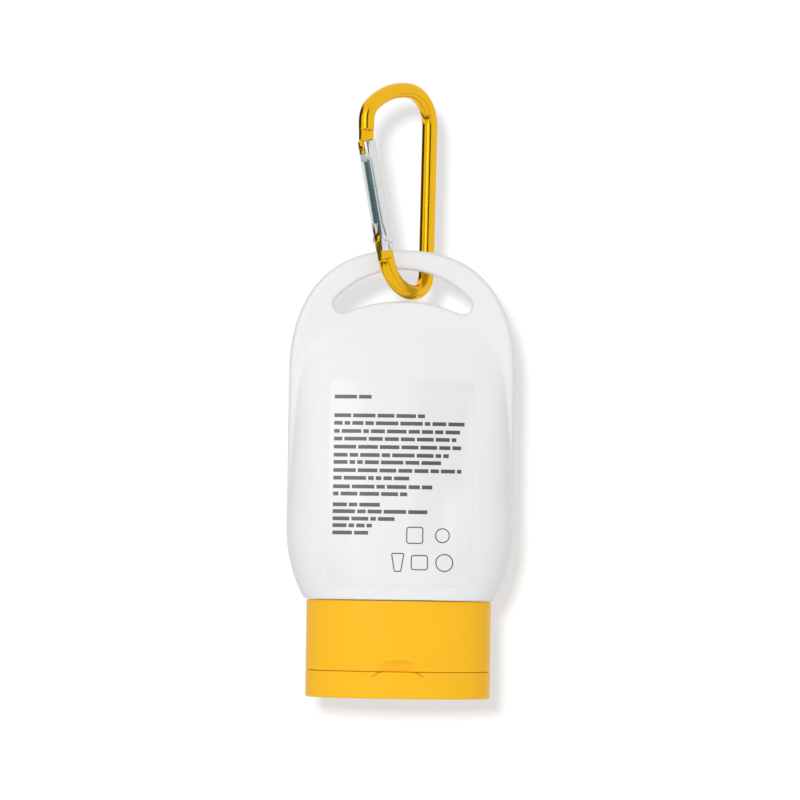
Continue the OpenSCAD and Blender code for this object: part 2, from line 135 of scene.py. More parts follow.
class HookSizes(bpy.types.PropertyGroup):
    """The snap hook. Its own plane has u across and w up, and is turned from the bottle's front."""

    turn: FloatProperty(
        name="Turn", description="From the bottle's front to its plane", default=math.radians(49), subtype="ANGLE"
    )
    u0: length("Offset", "Where the hook's plane crosses the bottle's", 0.9)
    rod_r: length("Rod", "Radius of the rod", 1.75)
    rod_half_t: length("Rod flats", "Half of the rod's thickness across its flats", 1.55)
    nose_u: length("Nose", "Place of the nose across the hook", -14.7)
    nose_w: length("Nose height", "Height at which the full rod ends at the nose", 125.55)
    gate_top_w: length("Gate top", "Height of the gate's upper end", 123.3)
    top_w: length("Crown", "Height of the rod's middle line at the crown", 135.85)
    low_w: length("Foot", "Height of the rod's middle line in the slot", 90.65)
    low_left_u: length("Foot bend", "Place of the bend below the gate", -5.4)
    gate_r: length("Gate", "Radius of the gate", 2.0)
    bore_r: length("Gate bore", "Radius of the gate's bore", 1.45)
    gate_up: length("Gate length", "Gate above its rivet", 22.35)
    gate_heel: length("Gate heel", "Gate below its rivet", 2.35)
    heel_gap: length("Heel gap", "Gap between the gate's heel and the rod's end", 2.0)
    nose_slot: length("Nose slot", "Depth of the slot in the gate's upper end", 4.4)
    heel_slot: length("Heel slot", "Height of the slot in the gate's lower end", 4.05)
    tongue_t: length("Tongue", "Thickness of the two tongues", 1.3)
    spring_turns: IntProperty(name="Turns", description="Turns of the gate spring", default=14, min=4)


class Finishes(bpy.types.PropertyGroup):
    """Colours of the finishes, in linear RGB."""

    bottle: colour("Bottle", "White polyethylene", (0.8, 0.804, 0.808))
    label: colour("Label", "Glossy white film", (0.79, 0.793, 0.8))
    ink: colour("Print", "Dark grey print", (0.11, 0.11, 0.115))
    cap: colour("Cap", "Yellow polypropylene", (0.94, 0.5, 0.007))
    hook: colour("Hook", "Gold anodised metal", (0.86, 0.47, 0.004))
    gate: colour("Gate", "Bright turned metal", (0.72, 0.745, 0.74))
    wire: colour("Spring", "Drawn spring wire", (0.42, 0.43, 0.44))


class Studio(bpy.types.PropertyGroup):
    """The camera, the backdrop and the lamps."""

    distance: FloatProperty(name="Distance", description="Camera to bottle", default=0.85, unit="LENGTH")
    view_w: FloatProperty(name="View", description="Width that the picture takes in", default=0.179, unit="LENGTH")
    tilt: FloatProperty(
        name="Tilt", description="Height of the camera over the horizon", default=math.radians(-2.5), subtype="ANGLE"
    )
    roll: FloatProperty(name="Roll", description="Roll of the camera", default=math.radians(0.85), subtype="ANGLE")
    ambient: FloatProperty(name="Ambient", description="Even light from all round", default=0.655, min=0.0)
    key_watts: FloatProperty(name="Key", description="Power of the lamp with the shadow", default=3.6, unit="POWER")
    side_watts: FloatProperty(name="Side", description="Power of the soft lamp on the left", default=1.0, unit="POWER")
    fill_watts: FloatProperty(name="Back fill", description="Power of the lamp behind", default=2.2, unit="POWER")


def sizes_mm(group):
    """All settings of a property group as one plain object, with its lengths in millimetres."""
    plain = SimpleNamespace()
    for name in group.__annotations__:
        value = getattr(group, name)
        is_length = group.bl_rna.properties[name].unit == "LENGTH"
        setattr(plain, name, value / MM if is_length else value)
    return plain


# Meshes from arrays


def grid_faces(rows, cols, wrap_rows=False, wrap_cols=False, first=0):
    """Quads of a grid of rows times cols points, joined round on itself where asked."""
    i = np.arange(rows if wrap_rows else rows - 1)[:, None]
    j = np.arange(cols if wrap_cols else cols - 1)[None, :]
    i2, j2 = (i + 1) % rows, (j + 1) % cols
    quads = np.stack([i * cols + j, i * cols + j2, i2 * cols + j2, i2 * cols + j], axis=-1)
    return quads.reshape(-1, 4) + first


def surface(points, wrap_rows=False, wrap_cols=False):
    """A grid of points with its quads, as one part of a piece."""
    points = np.asarray(points, float)
    rows, cols = points.shape[:2]
    return points.reshape(-1, 3), grid_faces(rows, cols, wrap_rows, wrap_cols)


def joined(*parts):
    """Several surfaces as one part."""
    points, faces, count = [], [], 0
    for p, f in parts:
        points.append(p)
        faces.append(f + count)
        count += len(p)
    return np.concatenate(points), np.concatenate(faces)


WELD_GRID = 2e4  # steps to a millimetre, for telling points at one place


def weld(part):
    """Points at one place become one, and a quad with two corners at one place becomes a triangle. The faces are then
    turned so that the shell's signed volume, a sixth of the sum of corner triple products, is above zero."""
    points, quads = part
    places = np.round(points * WELD_GRID).astype(np.int64)
    _, index, inverse = np.unique(places, axis=0, return_index=True, return_inverse=True)
    points, quads = points[index], inverse.ravel()[quads]
    after = np.roll(quads, -1, axis=1)
    same = quads == after
    doubled = same.sum(axis=1)
    tris = quads[doubled == 1][~same[doubled == 1]].reshape(-1, 3)
    quads = quads[doubled == 0]
    crossed = (quads[:, 0] == quads[:, 2]) | (quads[:, 1] == quads[:, 3])
    quads = quads[~crossed]
    tris = tris[(tris[:, 0] != tris[:, 1]) & (tris[:, 1] != tris[:, 2]) & (tris[:, 0] != tris[:, 2])]
    corners = np.concatenate([quads[:, [0, 1, 2]], quads[:, [0, 2, 3]], tris])
    a, b, c = (points[corners[:, k]] for k in range(3))
    if np.einsum("ij,ij->i", a, np.cross(b, c)).sum() < 0:
        quads, tris = quads[:, ::-1], tris[:, ::-1]
    return points, quads, tris


def new_piece(name, parts, body, material, replaces=(), smooth=35.0):
    """A mesh object from closed parts in millimetres, riding on a body. Edges sharper than the angle stay crisp."""
    points, faces, count = [], [], 0
    for part in parts:
        if len(part) == 2:
            part = weld(part)
        points.append(part[0])
        for group in part[1:]:
            faces += (group + count).tolist()
        count += len(part[0])
    mesh = bpy.data.meshes.new(name)
    mesh.from_pydata((np.concatenate(points) * MM).tolist(), [], faces)
    mesh.validate()
    mesh.polygons.foreach_set("use_smooth", np.ones(len(mesh.polygons), bool))
    mesh.set_sharp_from_angle(angle=math.radians(smooth))
    mesh.materials.append(material)
    piece = bpy.data.objects.new(name, mesh)
    bpy.context.scene.collection.objects.link(piece)
    if body:
        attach(piece, body)
    if replaces:
        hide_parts(*replaces)
    return piece


def turned(profile, sides=96):
    """A profile of (radius, height) carried round the Z axis. Its ends lie on the axis or it is closed on itself."""
    profile = np.asarray(profile, float)
    a = np.linspace(0, 2 * np.pi, sides, endpoint=False)
    r, z = profile[:, :1], profile[:, 1:]
    return np.stack([r * np.cos(a), r * np.sin(a), z + 0 * a], axis=-1)


def rounded(corners, radius, steps=5, closed=True, share=0.45):
    """A polyline with each corner replaced by an arc. The arc touches both sides at radius times the tangent of half
    the turn from the corner, and never takes more than the given share of a side."""
    corners = np.asarray(corners, float)
    radii = np.broadcast_to(np.asarray(radius, float), (len(corners),))
    before, after = np.roll(corners, 1, axis=0), np.roll(corners, -1, axis=0)
    out = []
    for k, (p, q, r) in enumerate(zip(before, after, radii)):
        c = corners[k]
        if (not closed and k in (0, len(corners) - 1)) or r <= 0:
            out.append(c[None])
            continue
        d1, d2 = p - c, q - c
        l1, l2 = np.linalg.norm(d1), np.linalg.norm(d2)
        d1, d2 = d1 / l1, d2 / l2
        turn = np.pi - math.acos(float(np.clip(d1 @ d2, -1, 1)))
        if turn < 0.02:
            out.append(c[None])
            continue
        reach = min(r * math.tan(turn / 2), share * l1, share * l2)
        true_r = reach / math.tan(turn / 2)
        middle = c + (d1 + d2) / np.linalg.norm(d1 + d2) * true_r / math.cos(turn / 2)
        start, end = c + d1 * reach - middle, c + d2 * reach - middle
        a0 = math.atan2(start[1], start[0])
        sweep = (math.atan2(end[1], end[0]) - a0 + np.pi) % (2 * np.pi) - np.pi
        a = a0 + sweep * np.linspace(0, 1, steps + 1)
        out.append(middle + true_r * np.stack([np.cos(a), np.sin(a)], axis=-1))
    return np.concatenate(out)


def loop_area(loop):
    """Twice the signed area inside a closed loop, above zero when it runs anticlockwise."""
    return np.sum(loop[:, 0] * np.roll(loop[:, 1], -1) - np.roll(loop[:, 0], -1) * loop[:, 1])


def inset_loop(loop, distance):
    """A closed loop moved inwards along its own normals, taken as the mean of the two sides at each point."""
    along = np.roll(loop, -1, axis=0) - np.roll(loop, 1, axis=0)
    along /= np.maximum(np.linalg.norm(along, axis=1, keepdims=True), 1e-9)
    side = np.stack([-along[:, 1], along[:, 0]], axis=-1) * np.sign(loop_area(loop))
    return loop + side * distance


def prism(loop, low, high, edge_low=0.1, edge_high=0.1, steps=3):
    """A flat outline carried along the third axis from low to high. At each end its edge is rolled in by a quarter
    circle, and the last loop is closed by one flat face."""
    loop = np.asarray(loop, float)
    levels = []
    for edge, end, way in ((edge_low, low, 1), (edge_high, high, -1)):
        angle = np.linspace(0, np.pi / 2, steps + 1) if edge > 0 else np.array([np.pi / 2])
        rows = [(edge * (1 - math.sin(a)), end + way * edge * (1 - math.cos(a))) for a in angle]
        levels += rows if way == 1 else rows[::-1]
    rings = [np.column_stack([inset_loop(loop, d) if d > 0 else loop, np.full(len(loop), h)]) for d, h in levels]
    points = np.concatenate(rings)
    count = len(loop)
    quads = grid_faces(len(rings), count, wrap_cols=True)
    first, last = np.arange(count)[::-1], np.arange(count) + (len(rings) - 1) * count
    if loop_area(loop) < 0:
        quads, first, last = quads[:, ::-1], first[::-1], last[::-1]
    return points, quads, np.stack([first, last])


# Bottle


def arc_in(b, z, full, start):
    """The shoulder's inward arc: full width above the shoulder, and below it the width that a circle through the start
    width leaves, where radius = (rise^2 + step^2) / (2 step)."""
    drop = np.clip((b.shoulder_z + b.shoulder_h - z) / b.shoulder_h, 0, 1)
    radius = (b.shoulder_h**2 + (full - start) ** 2) / (2 * (full - start))
    return full - radius + np.sqrt(radius**2 - (drop * b.shoulder_h) ** 2)


ARCH_POWER = 2.4
BELLY_POWER = 2.3
BELLY_NARROWS, BELLY_TIP_POWER = 0.1, 9  # how the belly's width closes towards its tip


def outline_half(b, z):
    """Half width at a height: a superellipse of power 2.4 over the arch's foot, and the shoulder's arc below."""
    up = np.clip((z - b.arch_z) / b.arch_h, 0, 1)
    return np.where(
        z > b.arch_z,
        b.half_w * np.maximum(1 - up**ARCH_POWER, 0) ** (1 / ARCH_POWER),
        arc_in(b, z, b.half_w, b.shoulder_half_w),
    )


def belly(b, x, z):
    """Depth of the belly: an oval of power 2.3 across, whose depth falls with the power 1.8 of the height."""
    taper = np.clip((z - b.belly_base_z) / (b.belly_top_z - b.belly_base_z), 0, 1)
    deep = arc_in(b, z, b.half_d, b.shoulder_half_d) * (1 - taper**1.8)
    tip = np.maximum(1 - taper**BELLY_TIP_POWER, 0) ** (1 / ARCH_POWER)
    wide = outline_half(b, z) * (1 - BELLY_NARROWS * taper) * tip
    share = np.clip(np.abs(x) / np.maximum(wide, 0.1), 0, 1)
    return deep * (1 - share**BELLY_POWER) ** (1 / BELLY_POWER)


def flange(b, x, z):
    """Half thickness of the flange: flat, and rolled to nothing over the last edge_r before the outline."""
    up = np.maximum(z - b.arch_z, 0)
    level = ((np.abs(x) / b.half_w) ** ARCH_POWER + (up / b.arch_h) ** ARCH_POWER) ** (1 / ARCH_POWER)
    gap = np.where(
        z > b.arch_z,
        (1 - level) * np.hypot(x, up) / np.maximum(level, 0.01),
        outline_half(b, z) - np.abs(x),
    )
    inside = np.clip(1 - gap / b.edge_r, 0, 1)
    half = b.flange_t / 2
    return half - b.edge_r + b.edge_r * np.sqrt(1 - inside**2) - (half - b.edge_r) * inside**6


def front_depth(b, x, z):
    """Depth of the bottle's front: the smooth larger of belly and flange, (p + q + sqrt((p - q)^2 + blend^2)) / 2."""
    plate = flange(b, x, z)
    swell = belly(b, x, z)
    blend = b.blend_r * plate / b.flange_t
    return (swell + plate + np.sqrt((swell - plate) ** 2 + blend**2)) / 2


SLOT_TOP_R, SLOT_LOW_R, SLOT_END_R = 20.3, 32.0, 2.0  # radii of the slot's three arcs
SLOT_TOP_C, SLOT_LOW_C = 75.3, 56.5  # heights of the middles of the upper and the lower arc


def slot_half(grow, counts):
    """Right half of the slot's outline, from its top to its foot: an arc over, a small end arc and an arc under."""
    rise = SLOT_TOP_C - SLOT_LOW_C
    dz = ((SLOT_LOW_R + SLOT_END_R) ** 2 - (SLOT_TOP_R - SLOT_END_R) ** 2 + rise**2) / (2 * rise)
    end = np.array([math.sqrt((SLOT_LOW_R + SLOT_END_R) ** 2 - dz**2), SLOT_LOW_C + dz])
    top_a = math.atan2(end[1] - SLOT_TOP_C, end[0])
    low_a = math.atan2(end[1] - SLOT_LOW_C, end[0])
    runs = (
        ((0, SLOT_TOP_C), SLOT_TOP_R + grow, np.pi / 2, top_a, counts[0]),
        (end, SLOT_END_R + grow, top_a, low_a - np.pi, counts[1]),
        ((0, SLOT_LOW_C), SLOT_LOW_R - grow, low_a, np.pi / 2, counts[2]),
    )
    points = []
    for centre, r, a0, a1, count in runs:
        a = a0 + (a1 - a0) * np.arange(count) / count
        points.append(np.stack([centre[0] + r * np.cos(a), centre[1] + r * np.sin(a)], axis=-1))
    return np.concatenate(points + [[[0, SLOT_LOW_C + SLOT_LOW_R - grow]]])


def outline_run(b, counts):
    """Right half of the bottle's outline, from its top to the middle of its foot, in runs that match the slot's arcs.
    The arch goes by angle of the superellipse, x = half_w cos^(2/n), z = arch_h sin^(2/n)."""
    top_end, side_start = 0.86, 0.33

    def arch(a):
        return np.stack(
            [b.half_w * np.cos(a) ** (2 / ARCH_POWER), b.arch_z + b.arch_h * np.sin(a) ** (2 / ARCH_POWER)], axis=-1
        )

    top = arch(np.linspace(np.pi / 2, top_end, counts[0], endpoint=False))
    end = arch(np.linspace(top_end, side_start, counts[1], endpoint=False))
    side_n = counts[2] - counts[3]
    arch_n = side_n // 6
    low_arch = arch(np.linspace(side_start, 0, arch_n, endpoint=False))
    z = np.linspace(b.arch_z, b.shoulder_z, side_n - arch_n, endpoint=False)
    side = np.stack([outline_half(b, z), z], axis=-1)
    x = np.linspace(b.shoulder_half_w, 0, counts[3] + 1)
    foot = np.stack([x, np.full_like(x, b.shoulder_z)], axis=-1)
    return np.concatenate([top, end, low_arch, side, foot])


def bottle_shell(b):
    """The bottle's outside as one closed skin. Columns run round the slot and rows from the slot's wall over its
    rounded edge and across the face to the outline. The back is the front's mirror, and the flat foot joins them."""
    counts = (34, 26, 118, 40)
    rim_round, below_top = 0.3, 1e-6
    inner = slot_half(b.slot_edge_r, counts)
    outer = outline_run(b, counts)
    edge_depth = front_depth(b, inner[:, 0], inner[:, 1]) - b.slot_edge_r
    edge_rows = []
    for a in np.linspace(0, np.pi / 2, 7)[:-1]:
        loop = slot_half(b.slot_edge_r * (1 - math.cos(a)), counts)
        edge_rows.append(np.stack([loop[:, 0], edge_depth + b.slot_edge_r * math.sin(a), loop[:, 1]], axis=-1))
    way = outer - inner
    reach = np.linalg.norm(way, axis=1)
    middle = np.linspace(0, 1, 64)[:-1, None] ** 1.25
    roll = b.edge_r * (1 - np.cos(np.linspace(np.pi / 2, 0, 11)))[:, None]
    share = np.concatenate([middle * (reach - b.edge_r) / reach, 1 - roll / reach])
    p = inner + way * share[..., None]
    x, z = p[..., 0], np.clip(p[..., 1], b.shoulder_z, b.arch_z + b.arch_h - below_top)
    depth = front_depth(b, np.minimum(x, outline_half(b, z)), z)
    fall = np.clip(1 - (z - b.shoulder_z) / rim_round, 0, 1)
    draw = 1 - rim_round * (1 - np.sqrt(1 - fall**2)) / b.half_d
    right = np.concatenate([edge_rows, np.stack([x * draw, depth * draw, z], axis=-1)])
    foot_cols = counts[2] - counts[3] + counts[0] + counts[1]
    right[-1, : foot_cols + 1, 1] = 0
    mirror_x, mirror_y = np.array([-1, 1, 1]), np.array([1, -1, 1])
    front = np.concatenate([right, right[:, -2:0:-1] * mirror_x], axis=1) * mirror_y
    skin = surface(np.concatenate([front[::-1], front * mirror_y]), wrap_cols=True)
    edge = right[-1, foot_cols:]
    edge = np.concatenate([edge, edge[-2::-1] * mirror_x])
    across = np.linspace(-1, 1, 9)[:, None]
    foot = np.stack([edge[:, 0] + 0 * across, edge[:, 1] * across, edge[:, 2] + 0 * across], axis=-1)
    return joined(skin, surface(foot))


def neck_shell(b):
    """The round neck with its snap bead, turned about Z, bored to the shoulder."""
    low, r, bead, bore = b.neck_low_z, b.neck_r, b.neck_low_z + 2.4, 6.1
    profile = [
        (bore, low + 0.15), (bore + 0.15, low), (r - 0.5, low), (r, low + 0.5), (r, bead - 0.45), (r + 0.45, bead),
        (r + 0.45, bead + 0.4), (r, bead + 1.3), (r, b.shoulder_z + 0.5), (bore, b.shoulder_z + 0.5),
    ]
    return surface(turned(profile), wrap_rows=True, wrap_cols=True)


class BOTTLE_OT_shell(bpy.types.Operator):
    """Build the moulded bottle"""

    bl_idname = "lotion_bottle.shell"
    bl_label = "Bottle"

    def execute(self, context):
        b = sizes_mm(context.scene.bottle_sizes)
        parts = [bottle_shell(b), neck_shell(b)]
        plastic = finish(context, "Polyethylene")
        new_piece("bottle_shell", parts, "root", plastic, replaces=("bottle",), smooth=50)
        return {"FINISHED"}


# Label


def label_half(b, z):
    """Half width of the label at a height, with quarter-circle corners."""
    near = np.clip(b.label_r - np.minimum(z - b.label_z, b.label_z + b.label_h - z), 0, b.label_r)
    return b.label_w / 2 - b.label_r + np.sqrt(b.label_r**2 - near**2)


def film_slab(b, x, z, low, high):
    """A thin closed slab over the belly between two lifts, for a grid of x and z."""
    face = np.stack([x, -front_depth(b, x, z) - high, z], axis=-1)
    under = np.stack([x, -front_depth(b, x, z) - low, z], axis=-1)
    rows, cols = x.shape
    index = np.arange(rows * cols).reshape(rows, cols)
    ring = np.concatenate([index[0], index[1:, -1], index[-1, -2::-1], index[-2:0:-1, 0]])
    after = np.roll(ring, -1)
    sides = np.stack([ring, after, after + index.size, ring + index.size], axis=-1)
    quads = grid_faces(rows, cols)
    points = np.concatenate([face.reshape(-1, 3), under.reshape(-1, 3)])
    return points, np.concatenate([quads[:, ::-1], quads + index.size, sides])


class BOTTLE_OT_label(bpy.types.Operator):
    """Build the label film and its plain print, short even bars in place of words"""

    bl_idname = "lotion_bottle.label"
    bl_label = "Label"

    def execute(self, context):
        b = sizes_mm(context.scene.bottle_sizes)
        ends = b.label_r * (1 - np.cos(np.linspace(0, np.pi / 2, 8)))
        middle = np.linspace(b.label_r, b.label_h - b.label_r, 64)
        z = (b.label_z + np.concatenate([ends[:-1], middle, (b.label_h - ends[::-1])[1:]]))[:, None]
        across = np.linspace(-1, 1, 57)[None, :]
        film = film_slab(b, label_half(b, z) * across, z + 0 * across, 0.02, b.label_lift)
        gloss, ink = finish(context, "Label film"), finish(context, "Print ink")
        new_piece("label_film", [film], "root", gloss, replaces=("label",), smooth=40)
        new_piece("label_print", label_marks(b) + badge_marks(b), "root", ink, smooth=60)
        return {"FINISHED"}


INK_SINK, INK_LIFT = -0.05, 0.012  # lifts of the print's under side and face over the film, in mm
PRINT_LINES = (  # height of a line's middle and its length, in mm
    (66.7, 8.2), (62.5, 20.1), (60.8, 28.9), (59.0, 27.9), (57.3, 27.1), (55.5, 28.2), (53.7, 26.2), (52.1, 23.9),
    (50.3, 28.3), (48.6, 16.8), (46.7, 21.9), (45.1, 16.4), (42.7, 10.4), (41.2, 20.9), (39.6, 13.7), (38.1, 8.7),
    (36.5, 8.5),
)


def label_marks(b):
    """Rows of plain bars laid on the film where the photograph shows small print. Each row has a height and a length,
    and its bars, two to eight pitches long, come from one seeded row of numbers."""
    rng = np.random.default_rng(7)
    pitch, gap, left, bar_h = 0.62, 0.45, -14.9, 0.84
    low, high, base = [], [], []
    for height, reach in PRINT_LINES:
        at = 0.0
        while at < reach - 0.3:
            wide = min(pitch * int(rng.integers(2, 9)), reach - at)
            low.append(left + at)
            high.append(left + at + wide)
            base.append(height - bar_h / 2)
            at += wide + gap
    low, high, base = (np.array(v)[:, None] for v in (low, high, base))
    along = np.linspace(0, 1, 7)
    x = low + (high - low) * along
    corners = []
    for z, lift in ((base, INK_SINK), (base + bar_h, INK_SINK), (base + bar_h, INK_LIFT), (base, INK_LIFT)):
        z = z + 0 * x
        corners.append(np.stack([x, -front_depth(b, x, z) - b.label_lift - lift, z], axis=-1))
    rows = np.stack(corners, axis=2)
    ends = rows.mean(axis=2, keepdims=True)[:, [0, -1]].repeat(4, axis=2)
    bars = np.concatenate([ends[:, :1], rows, ends[:, 1:]], axis=1)
    return [surface(bar, wrap_cols=True) for bar in bars]


def ring_mark(b, outline, wide):
    """A thin line laid on the film along a closed outline, with the given width."""
    outer = np.asarray(outline, float)
    inner = inset_loop(outer, wide)
    loops = []
    for loop, lift in ((inner, INK_SINK), (outer, INK_SINK), (outer, INK_LIFT), (inner, INK_LIFT)):
        x, z = loop[:, 0], loop[:, 1]
        loops.append(np.stack([x, -front_depth(b, x, z) - b.label_lift - lift, z], axis=-1))
    return surface(np.array(loops), wrap_rows=True, wrap_cols=True)


def badge_marks(b):
    """Five plain outlines where the photograph shows symbols: two squares, two rings and a tapered tube."""
    line = 0.26
    circle = np.linspace(0, 2 * np.pi, 40, endpoint=False)
    disc = np.stack([np.cos(circle), np.sin(circle)], axis=-1)
    square = rounded([(-1, -1), (1, -1), (1, 1), (-1, 1)], 0.35, 4)
    tube = rounded([(-0.55, -1), (0.55, -1), (1, 1), (-1, 1)], 0.2, 3)
    places = (
        (square, (3.3, 36.1), (1.9, 1.9)), (disc, (9.4, 36.1), (1.65, 1.65)), (tube, (-0.4, 30.1), (1.5, 2.1)),
        (square, (4.4, 30.1), (1.9, 1.7)), (disc, (9.9, 30.1), (2.0, 2.0)),
    )
    return [ring_mark(b, shape * np.array(size) + np.array(centre), line) for shape, centre, size in places]


# Cap


PARTING = 0.06  # from the lid's rim to the middle of the parting line, in mm
TAB_HALF = 3.4  # half of the thumb tab's straight upper edge, in mm


def scoop_face(c, x, z):
    """Depth of the thumb scoop's face, an ellipsoid sunk into the front that runs on outwards past its edge, and how
    much of it is there."""
    inside = 1 - (x / (c.scoop_w / 2)) ** 2 - ((z - c.lid_h - PARTING) / c.scoop_h) ** 2
    return -c.half_d - 0.3 + np.where(inside > 0, 1.4 * np.sqrt(np.maximum(inside, 0)), 0.8 * inside), inside


def dished(c, rows, soft=0.32):
    """The collar's wall with the thumb scoop let in: the smooth larger of wall and scoop, faded out past its edge."""
    x, y, z = rows[..., 0], rows[..., 1], rows[..., 2]
    face, inside = scoop_face(c, x, z)
    larger = (y + face + np.sqrt((y - face) ** 2 + soft**2)) / 2
    share = np.clip((inside + 2.2) / 1.5, 0, 1) * (y < 0)
    return np.stack([x, y + (larger - y) * share, z], axis=-1)


def tab_side(c, x):
    """Height of the thumb tab's sloping ends, which dip towards its corners."""
    w = c.scoop_w / 2
    dips = np.array([0.0, 0.22, 0.715, 1.1])
    return np.interp(np.abs(x), [TAB_HALF, (w + TAB_HALF) / 2, w - 0.7, w], c.lid_h - dips)


def tabbed(c, rows):
    """The lid's wall with the scoop cut round the tab. A groove of bell-shaped section, exp(-(z / wide)^2), follows
    the tab's sloping ends."""
    groove_deep, groove_wide = 0.36, 0.14
    x, y, z = rows[..., 0], rows[..., 1], rows[..., 2]
    face, inside = scoop_face(c, x, z)
    side = tab_side(c, x)
    beyond = (np.abs(x) > TAB_HALF) & (z > side) & (inside > 0) & (y < 0)
    cut = np.where(beyond, np.maximum(y, face), y)
    fade = np.clip((np.abs(x) - 2.9) / 0.8, 0, 1) * np.clip((6.1 - np.abs(x)) / 0.5, 0, 1) * (y < 0)
    return np.stack([x, cut + groove_deep * fade * np.exp(-(((z - side) / groove_wide) ** 2)), z], axis=-1)


def oval_rows(profile, angles):
    """A profile of (x radius, y radius, height) carried round an oval: x = rx cos a, y = ry sin a."""
    profile = np.asarray(profile, float)
    rx, ry, z = profile[:, :1], profile[:, 1:2], profile[:, 2:]
    return np.stack([rx * np.cos(angles), ry * np.sin(angles), z + 0 * angles], axis=-1)


def cap_angles(count=720):
    """Angles round the cap, twice as close at the front and the back as at the sides."""
    s = np.linspace(0, 2 * np.pi, count, endpoint=False)
    return s + 0.17 * np.sin(2 * s)


def outer_profile(c, heights, insets):
    """Rows of the cap's outer wall at the given heights, drawn in by the insets as the squeezed circle does."""
    share = c.half_d / c.half_w
    rx = c.half_w - np.asarray(insets, float)
    return np.stack([rx, rx * share, np.asarray(heights, float)], axis=-1)


def cut_back(c, points, high):
    """Points below a height and near the middle of the back, moved in to the flat back."""
    x, y, z = points[..., 0], points[..., 1], points[..., 2]
    flat = (np.abs(x) < c.flat_half) & (z < high)
    points[..., 1] = np.where(flat, np.minimum(y, c.flat_y), y)
    return points


class BOTTLE_OT_collar(bpy.types.Operator):
    """Build the cap's fixed collar with its deck, pouring hole and neck socket"""

    bl_idname = "lotion_bottle.collar"
    bl_label = "Cap collar"

    def execute(self, context):
        c = sizes_mm(context.scene.cap_sizes)
        quarter = np.linspace(0, np.pi / 2, 5)
        rise_z = c.collar_z + 3.0
        foot, rim = 0.14, 0.3
        low = np.linspace(c.collar_z + foot, rise_z - 0.012, 26)
        high = np.linspace(rise_z + 0.012, c.top_z - rim, 22)
        heights = np.concatenate([
            c.collar_z + foot * (1 - np.sin(quarter[::-1])), low[1:], high, c.top_z - rim + rim * np.sin(quarter[1:]),
        ])
        insets = np.concatenate([
            foot * (1 - np.cos(quarter[::-1])), 0 * low[1:], 0 * high, rim * (1 - np.cos(quarter[1:])),
        ])
        outer = outer_profile(c, heights, insets)
        ix, iy = c.half_w - c.wall, c.half_d - c.wall
        inner = [
            (ix + 0.15, iy + 0.15, c.top_z), (ix, iy, c.top_z - 0.15), (ix, iy, c.deck_z + 0.5),
            (ix - 0.15, iy - 0.15, c.deck_z + 0.15), (ix - 0.5, iy - 0.5, c.deck_z),
        ]
        spout = [
            (8.8, c.deck_z), (5.0, c.deck_z), (1.7, c.deck_z), (1.5, c.deck_z - 0.2), (1.5, 4.97), (1.65, 4.82),
            (2.8, 4.82), (3.08, 4.94), (3.2, 5.22), (3.2, 5.9), (3.35, c.collar_z),
        ]
        deck = [(r, r, z) for r, z in spout]
        under = [(ix - 3.0, iy - 2.0, c.collar_z)]
        rows = oval_rows(np.concatenate([outer, inner, deck, under]), cap_angles())
        rows[: len(outer)] = dished(c, rows[: len(outer)])
        rows = cut_back(c, rows, rise_z)
        wall = surface(rows, wrap_rows=True, wrap_cols=True)
        sunk = c.deck_z - 0.4
        socket = [
            (7.62, sunk), (8.7, sunk), (8.7, 14.2), (7.62, 14.2),
            (7.62, 12.9), (8.17, 12.1), (8.17, 11.5), (7.62, 10.9),
        ]
        plug = [(5.2, sunk), (6.0, sunk), (6.0, 10.8), (5.6, 11.2), (5.2, 11.2)]
        rings = [surface(turned(p), wrap_rows=True, wrap_cols=True) for p in (socket, plug)]
        plastic = finish(context, "Polypropylene")
        new_piece("collar_shell", [wall, *rings], "root", plastic, replaces=("cap_collar",), smooth=40)
        return {"FINISHED"}


class BOTTLE_OT_lid(bpy.types.Operator):
    """Build the flip lid with its thumb tab and its seal pin"""

    bl_idname = "lotion_bottle.lid"
    bl_label = "Cap lid"

    def execute(self, context):
        c = sizes_mm(context.scene.cap_sizes)
        quarter = np.linspace(0, np.pi / 2, 5)
        roll = np.linspace(0, np.pi / 2, 14)
        rim = 0.14
        side = np.concatenate([np.linspace(c.base_r, 4.3, 12)[1:], np.linspace(4.3, c.lid_h - rim, 30)[1:]])
        heights = np.concatenate([c.base_r * (1 - np.cos(roll)), side, c.lid_h - rim + rim * np.sin(quarter[1:])])
        insets = np.concatenate([c.base_r * (1 - np.sin(roll)), 0 * side, rim * (1 - np.cos(quarter[1:]))])
        outer = outer_profile(c, heights, insets)
        share = c.half_d / c.half_w
        base = [(r, r * share, 0.0) for r in (0.0, 6.0, 12.0, 17.0, 19.4)]
        ix, iy = c.half_w - c.wall, c.half_d - c.wall
        inner = [
            (ix + 0.12, iy + 0.12, c.lid_h), (ix, iy, c.lid_h - 0.12), (ix, iy, c.floor_z + 0.5),
            (ix - 0.15, iy - 0.15, c.floor_z + 0.15), (ix - 0.5, iy - 0.5, c.floor_z),
        ]
        seal = [
            (2.3, c.floor_z), (2.0, c.floor_z + 0.1), (1.9, c.floor_z + 0.4), (1.9, 4.3), (1.26, 4.6), (1.25, 4.66),
            (1.25, 5.5), (0.95, 5.85), (0.8, 5.92), (0.0, 5.92),
        ]
        pin = [(r, r, z) for r, z in seal]
        rows = oval_rows(np.concatenate([base, outer, inner, pin]), cap_angles())
        outside = slice(len(base), len(base) + len(outer))
        rows[outside] = tabbed(c, rows[outside])
        rows = cut_back(c, rows, c.lid_h + 1)
        shell = surface(rows, wrap_cols=True)
        plastic = finish(context, "Polypropylene")
        new_piece("lid_shell", [shell], "lid", plastic, replaces=("cap_lid",), smooth=40)
        return {"FINISHED"}


